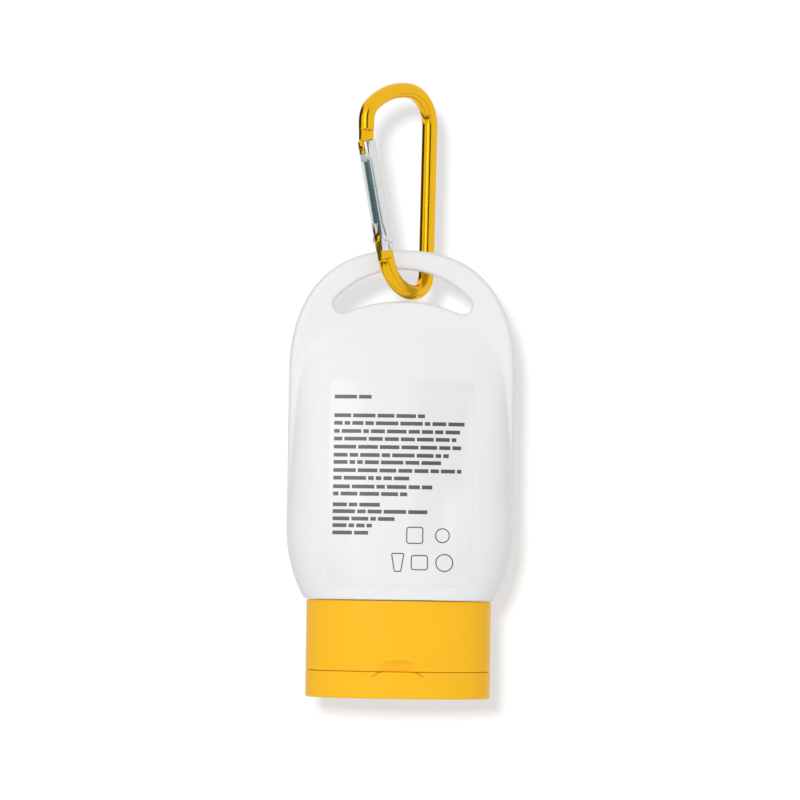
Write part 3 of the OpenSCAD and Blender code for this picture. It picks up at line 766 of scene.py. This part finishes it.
class BOTTLE_OT_hinge(bpy.types.Operator):
    """Build the two hinge films and the snap strap"""

    bl_idname = "lotion_bottle.hinge"
    bl_label = "Living hinge"

    def execute(self, context):
        c = sizes_mm(context.scene.cap_sizes)
        plastic = finish(context, "Polypropylene")
        axis_z = c.lid_h + PARTING
        for name, node, spans, reach in (
            ("hinge_film_pair", "hinge_films", ((-7.0, -3.8), (3.8, 7.0)), 1.3),
            ("hinge_strap_band", "hinge_strap", ((-2.2, 2.2),), 2.4),
        ):
            parts = [self.band(c, low, high, axis_z, reach) for low, high in spans]
            piece = new_piece(name, parts, None, plastic, smooth=40)
            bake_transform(piece)
            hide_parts(node)
        return {"FINISHED"}

    @staticmethod
    def band(c, low, high, axis_z, reach):
        """A flat band on the back, thinnest at the hinge line: its outer face dips by a cosine bump there."""
        middle = np.linspace(-reach + 0.2, reach - 0.2, 33)
        z = np.concatenate([[-reach, -reach + 0.08], middle, [reach - 0.08, reach]])
        edge = np.array([0.12, 0.03] + [0.0] * len(middle) + [0.03, 0.12])
        thinning, dip_reach = 0.14, 0.5
        dip = thinning * np.where(np.abs(z) < dip_reach, 0.5 + 0.5 * np.cos(np.pi * z / dip_reach), 0)
        out = c.flat_y + c.film_t - dip - edge
        inn, x0, x1 = np.full_like(z, c.flat_y), np.full_like(z, low), np.full_like(z, high)
        e, eased = 0.1, 0.03
        loop = [
            (x0, inn), (x0, out - e), (x0 + eased, out - eased), (x0 + e, out),
            (x1 - e, out), (x1 - eased, out - eased), (x1, out - e), (x1, inn),
        ]
        rows = np.stack([np.stack([x, y, axis_z + z], axis=-1) for x, y in loop], axis=1)
        ends = [np.repeat(r.mean(axis=0, keepdims=True), rows.shape[1], axis=0)[None] for r in (rows[0], rows[-1])]
        return surface(np.concatenate([ends[0], rows, ends[1]]), wrap_cols=True)


# Snap hook


def hook_place(h, points):
    """From the hook's own plane (u across, w up, n towards the viewer) to the bottle's frame."""
    u, w, n = points[..., 0], points[..., 1], points[..., 2]
    cos, sin = math.cos(h.turn), math.sin(h.turn)
    return np.stack([h.u0 + u * cos + n * sin, u * sin - n * cos, w], axis=-1)


def gate_lean(h):
    """Lean of the gate, from the corner under it to the nose."""
    return math.atan2(h.low_left_u - h.nose_u, h.gate_top_w - h.low_w)


def gate_place(h, points):
    """From the gate's own frame, with its rivet at the origin and its length along the second axis, to the bottle's."""
    lean = gate_lean(h)
    cos, sin = math.cos(lean), math.sin(lean)
    pu, pw = h.nose_u + h.gate_up * sin, h.gate_top_w - h.gate_up * cos
    a, b, n = points[..., 0], points[..., 1], points[..., 2]
    return hook_place(h, np.stack([pu + a * cos - b * sin, pw + a * sin + b * cos, n], axis=-1))


def gate_stand(h, points):
    """As gate_place, for what was turned about the third axis, which is set along the gate."""
    return gate_place(h, np.stack([points[..., 0], points[..., 2], -points[..., 1]], axis=-1))


def placed(place, h, part):
    """A part with its points put through one of the three changes of frame above, and its faces as they were."""
    return place(h, part[0]), *part[1:]


def hook_path(h):
    """The rod's middle line: straight runs with an arc in each corner, from the nose over the crown and down the spine,
    round the foot and up to the stub under the gate."""
    lean = gate_lean(h)
    pivot = np.array([h.nose_u + h.gate_up * math.sin(lean), h.gate_top_w - h.gate_up * math.cos(lean)])
    stub = pivot - (h.gate_heel + h.heel_gap) * np.array([-math.sin(lean), math.cos(lean)])
    crown_u, crown_r, shoulder = -7.48, 19.5, math.radians(38.6)
    spine_r = 0.98 * (7.0 - crown_u - crown_r * math.tan(shoulder / 2) - 0.1)
    corners = [
        (h.nose_u, h.nose_w), (h.nose_u, h.top_w - (crown_u - h.nose_u) * math.tan(shoulder)), (crown_u, h.top_w),
        (7.0, h.top_w), (6.3, h.low_w), (h.low_left_u, h.low_w), tuple(stub),
    ]
    return rounded(corners, [0, 4.95, crown_r, spine_r, 4.5, 9.3, 0], steps=26, closed=False, share=1.0)


def even_steps(line, step):
    """A polyline resampled so that its points lie about one step apart."""
    gaps = np.linalg.norm(np.diff(line, axis=0), axis=1)
    at = np.concatenate([[0], np.cumsum(gaps)])
    s = np.linspace(0, at[-1], int(at[-1] / step) + 1)
    return np.stack([np.interp(s, at, line[:, k]) for k in range(line.shape[1])], axis=-1)


def rod_rows(h, line, sides=56):
    """The rod's section carried along its middle line. The section is a circle whose two faces are flattened: its
    height n is the smooth smaller of r sin a and the flats' half thickness. Both ends roll in and close."""
    along = np.gradient(line, axis=0)
    along /= np.linalg.norm(along, axis=1, keepdims=True)
    side = np.stack([along[:, 1], -along[:, 0]], axis=-1)
    a = (np.arange(sides) + 0.5) * 2 * np.pi / sides
    across, high = h.rod_r * np.cos(a), h.rod_r * np.abs(np.sin(a))
    soft = 0.14
    flat = (high + h.rod_half_t - np.sqrt((high - h.rod_half_t) ** 2 + soft**2)) / 2 + 0.02
    normal = np.sign(np.sin(a)) * np.minimum(flat, h.rod_half_t)
    flat_rows = line[:, None] + across[:, None] * side[:, None]
    rows = np.concatenate([flat_rows, np.broadcast_to(normal[:, None], (*flat_rows.shape[:2], 1))], axis=-1)
    end_r, clear = 0.22, 0.25
    ends = []
    for ring, end, way in ((rows[0], line[0], -along[0]), (rows[-1], line[-1], along[-1])):
        centre = np.array([*end, 0.0])
        roll = []
        for a in (0.0, np.pi / 4, np.pi / 2):
            shrink = 1 - end_r * (1 - math.cos(a)) / h.rod_r
            step = -end_r + end_r * math.sin(a)
            roll.append(centre + (ring - centre) * shrink + np.array([*way, 0]) * step)
        roll.append(np.repeat(centre[None], sides, axis=0))
        ends.append(roll)
    keep = np.linalg.norm(line - line[0], axis=1) > clear
    keep &= np.linalg.norm(line - line[-1], axis=1) > clear
    return np.concatenate([ends[0][::-1], rows[keep], ends[1]])


NOSE_TONGUE = (  # outline of the tongue that the gate's upper slot closes over, from the rod's end
    (-1.75, 0.5), (-1.75, -2.2), (-1.35, -3.6), (-1.5, -4.2), (-1.0, -5.2), (-0.3, -5.3), (0.6, -4.9), (0.9, -4.2),
    (0.6, -3.4), (1.0, -2.6), (1.75, -1.95), (1.75, 0.5),
)
HEEL_TONGUE = (  # outline of the tongue that carries the rivet, from the gate's pivot
    (-2.0, -4.8), (1.9, -4.8), (1.9, -0.6), (1.2, 1.0), (0.8, 1.8), (-0.8, 1.8), (-1.6, 1.2), (-2.0, 0.0),
)


class BOTTLE_OT_hook(bpy.types.Operator):
    """Build the bent rod of the snap hook with its two tongues"""

    bl_idname = "lotion_bottle.hook"
    bl_label = "Hook body"

    def execute(self, context):
        h = sizes_mm(context.scene.hook_sizes)
        rod = surface(hook_place(h, rod_rows(h, even_steps(hook_path(h), 0.22))), wrap_cols=True)
        half, edge = h.tongue_t / 2, 0.07
        nose = prism(rounded(NOSE_TONGUE, 0.35, 4) + np.array([h.nose_u, h.nose_w]), -half, half, edge, edge)
        heel = prism(rounded(HEEL_TONGUE, 0.4, 4), -half, half, edge, edge)
        parts = [rod, placed(hook_place, h, nose), placed(gate_place, h, heel)]
        gold = finish(context, "Gold anodised")
        new_piece("hook_rod", parts, "hook", gold, replaces=("hook_body",), smooth=32)
        return {"FINISHED"}


def ring_sector(r_out, r_in, flat, count=40):
    """Outline of one cheek of the slotted gate: the ring between two circles beyond a flat, or a round segment where
    the inner circle doesn't reach the flat. Both arcs run by angle."""
    a = math.asin(flat / r_out)
    outer = np.linspace(a, np.pi - a, count)
    loop = [np.stack([r_out * np.cos(outer), r_out * np.sin(outer)], axis=-1)]
    if r_in > flat:
        b = math.asin(flat / r_in)
        inner = np.linspace(np.pi - b, b, count)
        loop.append(np.stack([r_in * np.cos(inner), r_in * np.sin(inner)], axis=-1))
    return np.concatenate(loop)


class BOTTLE_OT_gate(bpy.types.Operator):
    """Build the round gate, slotted at both ends and bored for its spring"""

    bl_idname = "lotion_bottle.gate"
    bl_label = "Gate"

    def execute(self, context):
        h = sizes_mm(context.scene.hook_sizes)
        clearance, edge, bore_end = 0.2, 0.16, 1.0
        flat = h.tongue_t / 2 + clearance
        top = h.gate_up - h.nose_slot
        tube = [
            (h.bore_r, h.heel_slot), (h.gate_r, h.heel_slot), (h.gate_r, top),
            (0.0, top), (0.0, top - bore_end), (h.bore_r, top - bore_end),
        ]
        parts = [weld(surface(turned(tube, 72), wrap_rows=True, wrap_cols=True))]
        cheeks = ((h.bore_r, -h.gate_heel, h.heel_slot, edge, 0), (0.0, top, h.gate_up, 0, edge))
        for way in (1, -1):
            parts += [prism(ring_sector(h.gate_r, r_in, flat) * way, *ends) for r_in, *ends in cheeks]
        parts = [placed(gate_stand, h, part) for part in parts]
        metal = finish(context, "Turned metal")
        new_piece("gate_bar", parts, "gate", metal, replaces=("gate",), smooth=30)
        return {"FINISHED"}


class BOTTLE_OT_gate_parts(bpy.types.Operator):
    """Build the gate's rivet, its pointed plunger and its coil spring"""

    bl_idname = "lotion_bottle.gate_parts"
    bl_label = "Rivet, plunger and spring"

    def execute(self, context):
        h = sizes_mm(context.scene.hook_sizes)
        bright, wire = finish(context, "Bright rivet"), finish(context, "Spring wire")
        dome = np.linspace(0, np.pi / 2, 9)
        head = [(1.3 * math.sin(a), 1.78 + 0.42 * math.cos(a)) for a in dome] + [(1.28, 1.5), (0.6, 1.45)]
        profile = head + [(r, -z) for r, z in head[::-1]]
        rivet = placed(gate_place, h, weld(surface(turned(profile, 64), wrap_cols=True)))
        new_piece("rivet_pin", [rivet], "gate", bright, replaces=("gate_rivet",), smooth=40)
        tip, low, r = 1.86, h.heel_slot + 0.25, h.bore_r - 0.08
        profile = [
            (0.0, tip), (0.2, tip + 0.02), (0.32, tip + 0.12), (r - 0.08, low - 0.1), (r, low + 0.05), (r, low + 3.0),
            (0.0, low + 3.0),
        ]
        plunger = placed(gate_stand, h, weld(surface(turned(profile, 56), wrap_cols=True)))
        new_piece("plunger_pin", [plunger], "plunger", bright, replaces=("gate_plunger",), smooth=40)
        coil = placed(gate_stand, h, weld(self.coil(h)))
        coil = new_piece("gate_coil", [coil], "gate", wire, replaces=("gate_spring",), smooth=50)
        low, high = self.coil_ends(h)
        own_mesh(coil)
        return {"FINISHED"}

    @staticmethod
    def coil_ends(h):
        """Where the coil's middle line starts and ends along the gate, in mm from the pivot."""
        return h.heel_slot + 3.43, h.gate_up - h.nose_slot - 1.2

    @staticmethod
    def coil(h):
        """A round wire on a helix: the middle line is (R cos a, R sin a, pitch a), and the wire's own circle lies
        in the plane through the axis. Both ends close on the middle line."""
        wire, sides, r = 0.15, 12, h.bore_r - 0.27
        low, high = BOTTLE_OT_gate_parts.coil_ends(h)
        a = np.linspace(0, 2 * np.pi * h.spring_turns, h.spring_turns * 30 + 1)
        z = low + (high - low) * a / a[-1]
        centre = np.stack([r * np.cos(a), r * np.sin(a), z], axis=-1)
        out = np.stack([np.cos(a), np.sin(a), 0 * a], axis=-1)
        k = (np.arange(sides) * 2 * np.pi / sides)[None, :, None]
        rows = centre[:, None] + wire * (np.cos(k) * out[:, None] + np.sin(k) * np.array([0, 0, 1.0]))
        ends = [np.repeat(c[None, None], sides, axis=1) for c in (centre[0], centre[-1])]
        return surface(np.concatenate([ends[0], rows, ends[1]]), wrap_cols=True)


# Materials


def group_socket(group, name, way, kind, value=None):
    """A named socket on a shader node group."""
    socket = group.interface.new_socket(name=name, in_out=way, socket_type=kind)
    if value is not None:
        socket.default_value = value
    return socket


def math_node(tree, operation, *inputs):
    """Output of a math node. An input that is a socket is linked, and a number is set."""
    node = tree.nodes.new("ShaderNodeMath")
    node.operation = operation
    for socket, value in zip(node.inputs, inputs):
        if isinstance(value, bpy.types.NodeSocket):
            tree.links.new(value, socket)
        else:
            socket.default_value = value
    return node.outputs[0]


def mixed_shaders(tree, share, *shaders):
    """Output of a mix shader between two shader sockets."""
    node = tree.nodes.new("ShaderNodeMixShader")
    for socket, source in zip(node.inputs, (share, *shaders)):
        tree.links.new(source, socket)
    return node.outputs[0]


GRAIN_INPUTS = (
    ("Broad scale", 120.0), ("Fine scale", 2500.0), ("Roughness", 0.4), ("Roughness spread", 0.08), ("Fine share", 0.5),
    ("Stretch", 1.0),
)


def surface_grain():
    """Node group for moulded and metal skins. Two noises of the piece's own coordinates vary the roughness and give a
    height: a broad one for handling marks and a fine one for the grain of the mould or the polish."""
    name = "Surface grain"
    if name in bpy.data.node_groups:
        return bpy.data.node_groups[name]
    group = bpy.data.node_groups.new(name, "ShaderNodeTree")
    for label, value in GRAIN_INPUTS:
        group_socket(group, label, "INPUT", "NodeSocketFloat", value)
    for label in ("Roughness", "Height", "Mask"):
        group_socket(group, label, "OUTPUT", "NodeSocketFloat")
    n, link = group.nodes, group.links.new
    inp, out = n.new("NodeGroupInput"), n.new("NodeGroupOutput")
    place = n.new("ShaderNodeTexCoord")
    stretch = n.new("ShaderNodeCombineXYZ")
    stretch.inputs["X"].default_value = stretch.inputs["Y"].default_value = 1.0
    link(inp.outputs["Stretch"], stretch.inputs["Z"])
    scaled = n.new("ShaderNodeVectorMath")
    scaled.operation = "MULTIPLY"
    link(place.outputs["Object"], scaled.inputs[0])
    link(stretch.outputs[0], scaled.inputs[1])
    noises = []
    for label, detail in (("Broad scale", 2.0), ("Fine scale", 3.0)):
        noise = n.new("ShaderNodeTexNoise")
        noise.inputs["Detail"].default_value = detail
        link(scaled.outputs[0], noise.inputs["Vector"])
        link(inp.outputs[label], noise.inputs["Scale"])
        noises.append(noise.outputs["Fac"])
    mix = n.new("ShaderNodeMix")
    for k, source in ((0, inp.outputs["Fine share"]), (2, noises[0]), (3, noises[1])):
        link(source, mix.inputs[k])
    centred = math_node(group, "SUBTRACT", mix.outputs[0], 0.5)
    varied = math_node(group, "MULTIPLY_ADD", centred, inp.outputs["Roughness spread"], inp.outputs["Roughness"])
    link(varied, out.inputs["Roughness"])
    link(mix.outputs[0], out.inputs["Height"])
    link(noises[0], out.inputs["Mask"])
    return group


def two_tone():
    """Node group that varies a colour a little by a mask, from a darker share of it to the full colour."""
    name = "Two tone"
    if name in bpy.data.node_groups:
        return bpy.data.node_groups[name]
    group = bpy.data.node_groups.new(name, "ShaderNodeTree")
    group_socket(group, "Colour", "INPUT", "NodeSocketColor", (0.8, 0.8, 0.8, 1))
    group_socket(group, "Mask", "INPUT", "NodeSocketFloat", 0.5)
    group_socket(group, "Depth", "INPUT", "NodeSocketFloat", 0.06)
    group_socket(group, "Colour", "OUTPUT", "NodeSocketColor")
    n, link = group.nodes, group.links.new
    inp, out = n.new("NodeGroupInput"), n.new("NodeGroupOutput")
    taken = math_node(group, "MULTIPLY", inp.outputs["Mask"], inp.outputs["Depth"])
    scale = n.new("ShaderNodeVectorMath")
    scale.operation = "SCALE"
    link(inp.outputs["Colour"], scale.inputs[0])
    link(math_node(group, "SUBTRACT", 1.0, taken), scale.inputs["Scale"])
    link(scale.outputs[0], out.inputs["Colour"])
    return group


# Each finish: its colour's setting, the grain's inputs in the order of GRAIN_INPUTS, the depth of the two tones, the
# relief in mm, and what is the same all over, set on the shader itself
FINISHES = {
    # milky blow-moulded plastic with a soft sheen
    "Polyethylene": (
        "bottle", (90.0, 1800.0, 0.42, 0.1, 0.45), 0.02, 0.02,
        {"Subsurface Weight": 0.12, "Subsurface Scale": 0.002, "Specular IOR Level": 0.45},
    ),
    # white film with a clear gloss
    "Label film": (
        "label", (60.0, 900.0, 0.2, 0.06, 0.3), 0.012, 0.008, {"Coat Weight": 0.6, "Coat Roughness": 0.12},
    ),
    # grey print under the film's gloss
    "Print ink": ("ink", (400.0, 5000.0, 0.3, 0.1, 0.5), 0.2, 0.004, {"Coat Weight": 0.5, "Coat Roughness": 0.12}),
    # half-gloss injection-moulded plastic with the mould's fine grain
    "Polypropylene": (
        "cap", (110.0, 3000.0, 0.34, 0.1, 0.5), 0.04, 0.012,
        {"Subsurface Weight": 0.05, "Subsurface Scale": 0.001, "Specular IOR Level": 0.32},
    ),
    # aluminium, tumbled bright
    "Gold anodised": (
        "hook", (160.0, 4200.0, 0.16, 0.1, 0.5), 0.06, 0.006,
        {"Metallic": 1.0, "Coat Weight": 0.2, "Coat Roughness": 0.05},
    ),
    # bright metal with fine rings from turning
    "Turned metal": ("gate", (160.0, 1500.0, 0.13, 0.08, 0.6, 5.0), 0.08, 0.006, {"Metallic": 1.0}),
    # bright headed metal
    "Bright rivet": ("gate", (300.0, 6000.0, 0.24, 0.12, 0.5), 0.1, 0.005, {"Metallic": 1.0}),
    # drawn wire
    "Spring wire": ("wire", (300.0, 7000.0, 0.3, 0.12, 0.6), 0.1, 0.004, {"Metallic": 1.0}),
}


def finish(context, name):
    """The material of a finish: one Principled shader, fed by the grain and tone groups."""
    if name in bpy.data.materials:
        return bpy.data.materials[name]
    tint, grain, depth, relief, even = FINISHES[name]
    material = bpy.data.materials.new(name)
    material.use_nodes = True
    n, link = material.node_tree.nodes, material.node_tree.links.new
    shader = n["Principled BSDF"]
    for label, value in even.items():
        shader.inputs[label].default_value = value
    skin = n.new("ShaderNodeGroup")
    skin.node_tree = surface_grain()
    for (label, _), value in zip(GRAIN_INPUTS, grain):
        skin.inputs[label].default_value = value
    tone = n.new("ShaderNodeGroup")
    tone.node_tree = two_tone()
    tone.inputs["Colour"].default_value = (*getattr(context.scene.bottle_finishes, tint), 1)
    tone.inputs["Depth"].default_value = depth
    link(skin.outputs["Mask"], tone.inputs["Mask"])
    link(tone.outputs["Colour"], shader.inputs["Base Color"])
    link(skin.outputs["Roughness"], shader.inputs["Roughness"])
    bump = n.new("ShaderNodeBump")
    bump.inputs["Strength"].default_value = 1.0
    bump.inputs["Distance"].default_value = relief * MM
    link(skin.outputs["Height"], bump.inputs["Height"])
    link(bump.outputs[0], shader.inputs["Normal"])
    return material


# Studio


def backdrop_material(paleness):
    """Plain white that vanishes from behind, so that the backdrop never hides the object. The camera sees a share of
    it, the paleness, as even white, which keeps the shadow pale."""
    material = bpy.data.materials.new("Backdrop white")
    material.use_nodes = True
    n = material.node_tree.nodes
    shader = n["Principled BSDF"]
    shader.inputs["Base Color"].default_value = (1, 1, 1, 1)
    shader.inputs["Roughness"].default_value = 1.0
    shader.inputs["Specular IOR Level"].default_value = 0.0
    seen, clear = n.new("ShaderNodeEmission"), n.new("ShaderNodeBsdfTransparent")
    rays, face = n.new("ShaderNodeLightPath"), n.new("ShaderNodeNewGeometry")
    tree = material.node_tree
    part = math_node(tree, "MULTIPLY", rays.outputs["Is Camera Ray"], paleness)
    lifted = mixed_shaders(tree, part, shader.outputs[0], seen.outputs[0])
    shown = mixed_shaders(tree, face.outputs["Backfacing"], lifted, clear.outputs[0])
    tree.links.new(shown, n["Material Output"].inputs["Surface"])
    return material


def white_world(ambient):
    """Even light, and plain white for the camera, for reflections and through clear pieces."""
    world = bpy.data.worlds.new("White studio")
    world.use_nodes = True
    tree = world.node_tree
    light, seen = tree.nodes["Background"], tree.nodes.new("ShaderNodeBackground")
    rays = tree.nodes.new("ShaderNodeLightPath").outputs
    light.inputs["Color"].default_value = seen.inputs["Color"].default_value = (1, 1, 1, 1)
    light.inputs["Strength"].default_value = ambient
    direct = math_node(tree, "MAXIMUM", rays["Is Camera Ray"], rays["Is Glossy Ray"])
    plain = math_node(tree, "MAXIMUM", direct, rays["Is Transmission Ray"])
    mix = mixed_shaders(tree, plain, light.outputs[0], seen.outputs[0])
    tree.links.new(mix, tree.nodes["World Output"].inputs["Surface"])
    bpy.context.scene.world = world


def card(name, points, material):
    """A flat stage card through four corners, in metres."""
    mesh = bpy.data.meshes.new(name)
    mesh.from_pydata(points, [], [(0, 1, 2, 3)])
    mesh.materials.append(material)
    piece = bpy.data.objects.new(name, mesh)
    bpy.context.scene.collection.objects.link(piece)
    return piece


# Cards that glow for reflections only and are no lamps. The bright strips are painted highlights in the gloss, the dim
# shade cards are painted darker reflections, and the two teal cards are a painted dark teal band on the gate. Each
# card's name, its two bearings in degrees, its two heights in m, its glow
REFLECTED = (
    ("strip_hook", (-40, -14), (0.13, 0.50), (1.9, 1.9, 1.9)),
    ("strip_left", (-20, -14), (0.0245, 0.13), (2.4, 2.4, 2.4)),
    ("strip_right", (18, 24), (0.0245, 0.13), (1.7, 1.7, 1.7)),
    ("shade_near", (4, 17), (0.0245, 0.50), (0.04, 0.04, 0.04)),
    ("shade_hook", (17, 30), (0.13, 0.50), (0.03, 0.03, 0.03)),
    ("shade_far", (-140, -80), (0.12, 0.50), (0.03, 0.03, 0.03)),
    ("shade_cap", (16, 62), (-0.03, 0.0245), (0.25, 0.25, 0.25)),
    ("shade_cap_side", (62, 112), (-0.03, 0.0245), (0.25, 0.25, 0.25)),
    ("teal_far", (-130, -63), (-0.14, -0.02), (0.06, 0.13, 0.14)),
    ("teal_near", (-63, 4), (-0.14, -0.02), (0.06, 0.13, 0.14)),
)


def bearing(degrees, z, reach=0.5):
    """A point at a distance round the bottle, with its bearing counted from the front to the right."""
    a = math.radians(degrees)
    return reach * math.sin(a), -reach * math.cos(a), z


def glow(name, tint):
    """An even glow whose tint carries its strength, for a card that only reflections show."""
    material = bpy.data.materials.new(name)
    material.use_nodes = True
    n, link = material.node_tree.nodes, material.node_tree.links.new
    light = n.new("ShaderNodeEmission")
    light.inputs["Color"].default_value = (*tint, 1)
    link(light.outputs[0], n["Material Output"].inputs["Surface"])
    return material


WALL_X, WALL_Y, WALL_LOW, WALL_HIGH = 0.6, 0.06, -0.3, 0.6  # the backdrop's half width, depth and two heights, in m
WALL_PALENESS = 0.06
LAMP_AIM = (0, 0, 0.06)
LAMPS = (  # name, place and size in m, and the setting with its power
    ("key", (-0.05, -1.0, 0.088), 0.045, "key_watts"),
    ("side", (-0.6, -0.75, 0.3), 0.34, "side_watts"),
    ("back_fill", (0.55, 0.8, 0.2), 0.4, "fill_watts"),
)
VIEW_CENTRE = (-0.0004, 0.0, 0.0664)  # what the camera is aimed at, in m


class BOTTLE_OT_studio(bpy.types.Operator):
    """Set up the backdrop, the lamps and the camera"""

    bl_idname = "lotion_bottle.studio"
    bl_label = "Studio"

    def execute(self, context):
        studio = context.scene.bottle_studio
        corners = [(-WALL_X, WALL_LOW), (WALL_X, WALL_LOW), (WALL_X, WALL_HIGH), (-WALL_X, WALL_HIGH)]
        wall = card("backdrop_wall", [(x, WALL_Y, z) for x, z in corners], backdrop_material(WALL_PALENESS))
        wall.visible_diffuse = wall.visible_glossy = wall.visible_shadow = False
        white_world(studio.ambient)
        # glowing cards that only reflections see: painted highlights and painted dark reflections, not lamps
        for name, (left, right), (low, high), tint in REFLECTED:
            corners = [(left, low), (right, low), (right, high), (left, high)]
            strip = card(name, [bearing(a, z) for a, z in corners], glow(name, tint))
            strip.visible_camera = strip.visible_diffuse = strip.visible_shadow = False
        for name, place, size, watts in LAMPS:
            lamp = self.lamp(name, place, size, getattr(studio, watts))
            lamp.data.use_shadow = name != "side"
            lamp.visible_glossy = False
        self.camera(context, studio)
        context.scene.view_settings.view_transform = "Standard"
        return {"FINISHED"}

    @staticmethod
    def lamp(name, place, size, watts):
        """A square area lamp that points at the bottle's middle."""
        data = bpy.data.lights.new(name, "AREA")
        data.size = size
        data.energy = watts
        lamp = bpy.data.objects.new(name, data)
        lamp.location = place
        lamp.rotation_euler = (Vector(LAMP_AIM) - Vector(place)).to_track_quat("-Z", "Y").to_euler()
        bpy.context.scene.collection.objects.link(lamp)
        return lamp

    @staticmethod
    def camera(context, studio):
        """A long lens at the photograph's angle, aimed at the middle of the picture."""
        data = bpy.data.cameras.new("camera")
        data.lens = data.sensor_width * studio.distance / studio.view_w
        data.clip_end = 10.0
        camera = bpy.data.objects.new("camera", data)
        back = Vector((0, -math.cos(studio.tilt), math.sin(studio.tilt)))
        camera.location = Vector(VIEW_CENTRE) + back * studio.distance
        turn = (-back).to_track_quat("-Z", "Y").to_matrix() @ Matrix.Rotation(studio.roll, 3, "Z")
        camera.rotation_euler = turn.to_euler()
        context.scene.collection.objects.link(camera)
        context.scene.camera = camera


# Add-on


STEPS = ("shell", "label", "collar", "lid", "hinge", "hook", "gate", "gate_parts", "studio")


class BOTTLE_PT_panel(bpy.types.Panel):
    """The pieces in the order in which they are built"""

    bl_idname = "BOTTLE_PT_panel"
    bl_label = "Lotion bottle"
    bl_space_type = "VIEW_3D"
    bl_region_type = "UI"
    bl_category = "Bottle"

    def draw(self, context):
        for step in STEPS:
            self.layout.operator(f"lotion_bottle.{step}")


CLASSES = (
    BottleSizes, CapSizes, HookSizes, Finishes, Studio, BOTTLE_OT_shell, BOTTLE_OT_label, BOTTLE_OT_collar,
    BOTTLE_OT_lid, BOTTLE_OT_hinge, BOTTLE_OT_hook, BOTTLE_OT_gate, BOTTLE_OT_gate_parts, BOTTLE_OT_studio,
    BOTTLE_PT_panel,
)
SETTINGS = {
    "bottle_sizes": BottleSizes, "cap_sizes": CapSizes, "hook_sizes": HookSizes, "bottle_finishes": Finishes,
    "bottle_studio": Studio,
}


def register():
    """Register the classes and hang the settings on the scene."""
    for item in CLASSES:
        bpy.utils.register_class(item)
    for name, group in SETTINGS.items():
        setattr(bpy.types.Scene, name, PointerProperty(type=group))


def unregister():
    """Take the settings and the classes away again."""
    for name in SETTINGS:
        delattr(bpy.types.Scene, name)
    for item in reversed(CLASSES):
        bpy.utils.unregister_class(item)


def main():
    """Build every piece and the studio."""
    register()
    for step in STEPS:
        if getattr(bpy.ops.lotion_bottle, step)() != {"FINISHED"}:
            raise RuntimeError(f"{step} wasn't finished")


if __name__ == "__main__":
    main()
